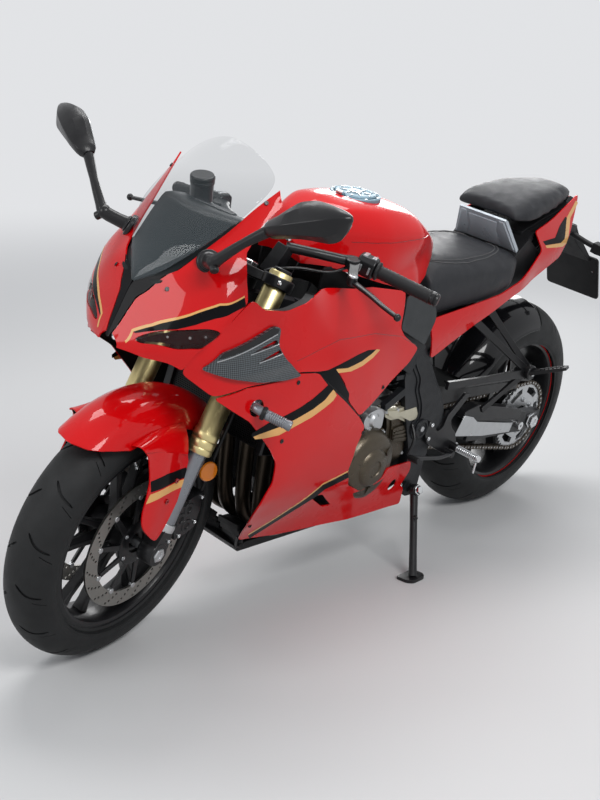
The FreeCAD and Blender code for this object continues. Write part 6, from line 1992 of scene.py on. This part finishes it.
def bobbins():
    shape = Shape()
    for s in (1, -1):
        shape.tube([(440, s * 160, 640), (500, s * 184, 648), (548, s * 206, 655), (570, s * 224, 655),
                    (560, s * 262, 646)],
                   11, smooth=6)
        a, b = Vector((567, s * 248, 649.5)), Vector((536, s * 301, 635))
        d = (b - a).normalized()
        shape.lathe(a - d * 4, d, [(0, 9), (0, 14), (5, 15), (9, 14), (9, 9)], 1)
        length = (b - a).length
        rows = [(6, 6), (6, 10.5)]
        for k in range(9):
            rows += [(8 + k * 4.6, 11.4), (10.6 + k * 4.6, 11.4), (11.2 + k * 4.6, 9.8)]
        rows += [(length - 6, 11.5), (length - 1, 11), (length, 9), (length, 5), (length - 4, 4)]
        shape.lathe(a, d, rows, 0, n=36)
    shape.make("slider_bobbins", ["slider_grey", "black_plastic"], ["crash_bobbins"], "silver_metal",
               bevel=0.5)


MIRROR_ROWS = [
    # distance from the neck, top, bottom, front, back
    (0, 10, -13, 14, -10), (6, 16, -17, 22, -12), (27, 23, -20, 30, -15), (55, 34, -23, 34, -16),
    (82, 42, -28, 34, -17), (108, 41, -35, 32, -17), (131, 34, -40, 29, -16), (146, 27, -38, 24, -15),
    (163, 17, -25, 16, -12), (174, 9, -10, 9, -8), (179, 4, -4, 3, -4),
]


def mirror_pair():
    """Angular heads with a crease along the front, each on a bent stalk."""
    shape, face = Shape(), Shape()
    root, tip = Vector((660, 266, 1052)), Vector((620, 428, 1118))
    along = (tip - root).normalized()
    depth = Vector((1, 0.3, 0.1))
    depth = (depth - along * depth.dot(along)).normalized()
    rise = along.cross(depth).normalized()
    if rise.z < 0:
        rise = -rise
    at = np.array([r[0] for r in MIRROR_ROWS], float)
    rings, back = [], []
    for s in np.concatenate([np.linspace(0, 150, 20), np.linspace(155, 179, 7)]):
        top, low, front, rear = (float(smooth_through(at, [r[k] for r in MIRROR_ROWS], [s])[0])
                                 for k in (1, 2, 3, 4))
        centre = root + along * s
        rings.append([centre + depth * d + rise * h for d, h in
                      ((rear, top * 0.84), (0, top), (front * 0.62, top * 0.7 + 1),
                       (front, 5.5 * min(1, top / 20)),
                       (front * 0.94, -2), (front * 0.72, low * 0.62), (0, low), (rear, low * 0.84))])
        if 6 < s < 172:
            back.append([centre + depth * (rear - e) + rise * (h * v * 0.8) for e, h, v in
                         ((0, low, 1), (1.2, low, 1), (1.6, 0, 1), (1.2, top, 1), (0, top, 1))])
    shape.rings(rings)
    face.rings(back)
    foot = Vector((687, 167, 960))
    shape.tube([(658, 124, 944), (672, 142, 950), foot, Vector((686, 186, 976)), Vector((676, 226, 1014)),
                root + along * 12], [15, 14, 14, 11, 9, 12], smooth=6, n=20)
    shape.ball(foot, 15)
    out = Vector((0.62, 0.66, 0.42)).normalized()
    seat = Vector((656, 122, 943))
    shape.rod(seat - out * 8, seat + out * 3, 25, 24, n=36, chamfer=2)
    shape.rod(seat + out * 3, seat + out * 10, 19, 16, n=36, chamfer=2)
    shape.rod(foot + Vector((4, 6, -6)), foot + Vector((10, 15, -14)), 9, n=24, chamfer=1.5)
    shape.mirrored().make("mirror_pair", "satin_black", ["mirrors"], bevel=1.2, angle=34)
    face.mirrored().make("mirror_glass", "lamp_chrome")


def radiator():
    shape = Shape()
    tilt = Matrix.Rotation(radians(-12), 4, "Y")
    centre = Vector((424, 0, 600))

    def at(x, y, z):
        return centre + tilt.to_3x3() @ (Vector((x, y, z)) - centre)

    for k in range(46):
        z = 494 + k * 4.5
        shape.rings([[at(411, y, z), at(437, y, z + 1.2), at(437, y, z + 2.4), at(411, y, z + 1.4)]
                     for y in (-149, 149)])
    shape.rings([[at(x, y, z) for x, z in ((414, 491), (434, 491), (434, 699), (414, 699))]
                 for y in (-148, 148)], 1)
    for s in (1, -1):
        rows = [(s * 149, 0), (s * 153, 2), (s * 168, 2), (s * 172, -2)]
        shape.rings([[at(x, y, z) for x, z in ((405 - g, 487 - g), (443 + g, 487 - g), (443 + g, 703 + g),
                                               (405 - g, 703 + g))]
                     for y, g in rows], 1)
    shape.make("radiator_core", ["radiator_fins", "satin_black"], ["radiator"], bevel=0.8)


def stand():
    pivot, tilt = Vector((-165, 158, 234)), radians(25.5)
    axis = Vector((0, cos(tilt), sin(tilt)))
    ground = Vector((-96, 262, 262 * tan(LEAN)))
    ankle = ground + Vector((0, sin(LEAN), cos(LEAN))) * 8
    shape = Shape()
    start = pivot + axis * 8
    shape.tube([start, start.lerp(ankle, 0.35), start.lerp(ankle, 0.7), ankle], [11, 10, 10, 11], smooth=6,
               n=24)
    shape.lathe(pivot, axis, [(0, 6.4), (0, 15), (2, 16), (18, 16), (20, 15), (20, 6.4)])
    turn = Matrix.Rotation(LEAN, 3, "X")
    outline = rounded([(-34, -26), (34, -26), (34, 10), (22, 24), (-22, 24), (-34, 10)], 8)
    shape.rings([[ground + turn @ Vector((x, y, z)) for x, y in outline] for z in (0.3, 8.5)])
    tang = start.lerp(ankle, 0.3)
    shape.rod(tang, tang + Vector((14, 20, 6)), 4)
    shape.make("side_stand_leg", "satin_black", ["side_stand"], "frame_black", bevel=1.2, body="side_stand")
    pin = Shape()
    pin.lathe(pivot + axis * 20.6, axis, [(0, 5), (0, 13), (2, 14), (3, 11), (10, 11), (11, 9), (11, 3)], n=6)
    pin.make("stand_pivot_nut", "bright_silver")


def chin():
    shape = Shape()
    shape.prism(rounded([(372, 166), (386, 186), (340, 186), (60, 166), (60, 152)], 3), -64, 64)
    for s in (1, -1):
        for k in range(4):
            a = Vector((414 - k * 9, s * 95, 258 - k * 19))
            b = Vector((388 - k * 9, s * 6, 236 - k * 17))
            shape.beam(a, b, (7, 15), (7, 15))
        shape.beam((404, s * 92, 232), (372, s * 60, 176), (8, 12), (8, 12), (1, 0, 0))
    shape.make("chin_ribs", "black_plastic", ["chin_spoiler"], bevel=2)


def plate():
    shape = Shape()
    shape.beam((-744, 0, 866), (-912, 0, 838), (84, 30), (64, 26), mids=((0.1, 86, 32), (0.8, 70, 27)))
    shape.beam((-900, 0, 846), (-980, 0, 748), (60, 26), (130, 12), mids=((0.3, 66, 24), (0.8, 110, 16)))
    turn = Matrix.Rotation(radians(25), 3, "Y")
    board = rounded([(-92, -74), (92, -74), (92, 74), (-92, 74)], 12)
    holes = [circle(y, 20, 3.25, 16) for y in (70, -70)]

    def place(pts, height):
        return np.array([Vector((-1010, 0, 692)) + turn @ Vector((height, *p)) for p in pts])

    shape.add(*slab(board, holes, 20, place, -3, 3, (1, 0, 0)))
    for s in (1, -1):
        shape.tube([(-902, s * 24, 827), (-904, s * 70, 817), (-907, s * 112, 809)], [9, 8, 8], smooth=5)
        shape.beam((-905, s * 104, 811), (-914, s * 172, 800), (34, 28), (20, 16),
                   mids=((0.25, 36, 29), (0.8, 27, 22)))
        shape.lathe((-922, s * 138, 805), (-1, 0, 0), [(-6, 9), (-6, 11), (0, 11), (4, 8), (4, 2)], 1)
    shape.make("number_plate_holder", ["black_plastic", "amber"], ["plate_holder"], bevel=2)
    lamp = Shape()
    lamp.rings([[(x, y, z) for x, z in ((-744, 873), (-758, 880), (-806, 950), (-784, 956), (-766, 930))]
                for y in (-55, -50, 50, 55)])
    lamp.make("tail_light", "tail_red", bevel=3, segments=3)


# What is kept from the frame, with its finish

KEPT = {
    "main_frame": "frame_black", "subframe": "frame_black", "engine_block": "cast_black",
    "fairing_stay": "black_plastic", "seat_trim": "silver_paint", "tail_tray": "black_plastic",
    "stand_bosses": "bright_silver", "chain_guard": "black_gloss", "rear_caliper": "satin_black",
}


def finish_kept():
    for name, obj in frame["nodes"].items():
        mat = MATS[KEPT.get(name, "black_plastic")]
        for s in obj.material_slots:
            s.material = mat
        if not obj.material_slots:
            obj.data.materials.append(mat)


build_materials()
stage()
camera()
nose()
side_panels()
side_graphics()
tank()
screen()
seats()
tail()
knee_covers()
tyres()
rim("front_wheel", "front_rim", FRONT_WHEEL, 46, 56, 24)
rim("rear_wheel", "rear_rim", REAR_WHEEL, 72, 74, 30, "red_line")
discs()
rear_sprocket()
chain()
fork()
handlebars()
controls()
fender()
fender_wings()
calipers()
engine_covers()
frame_covers()
right_covers()
exhaust()
swingarm()
shock_absorber()
hugger()
rests()
bobbins()
mirror_pair()
radiator()
stand()
chin()
plate()
finish_kept()
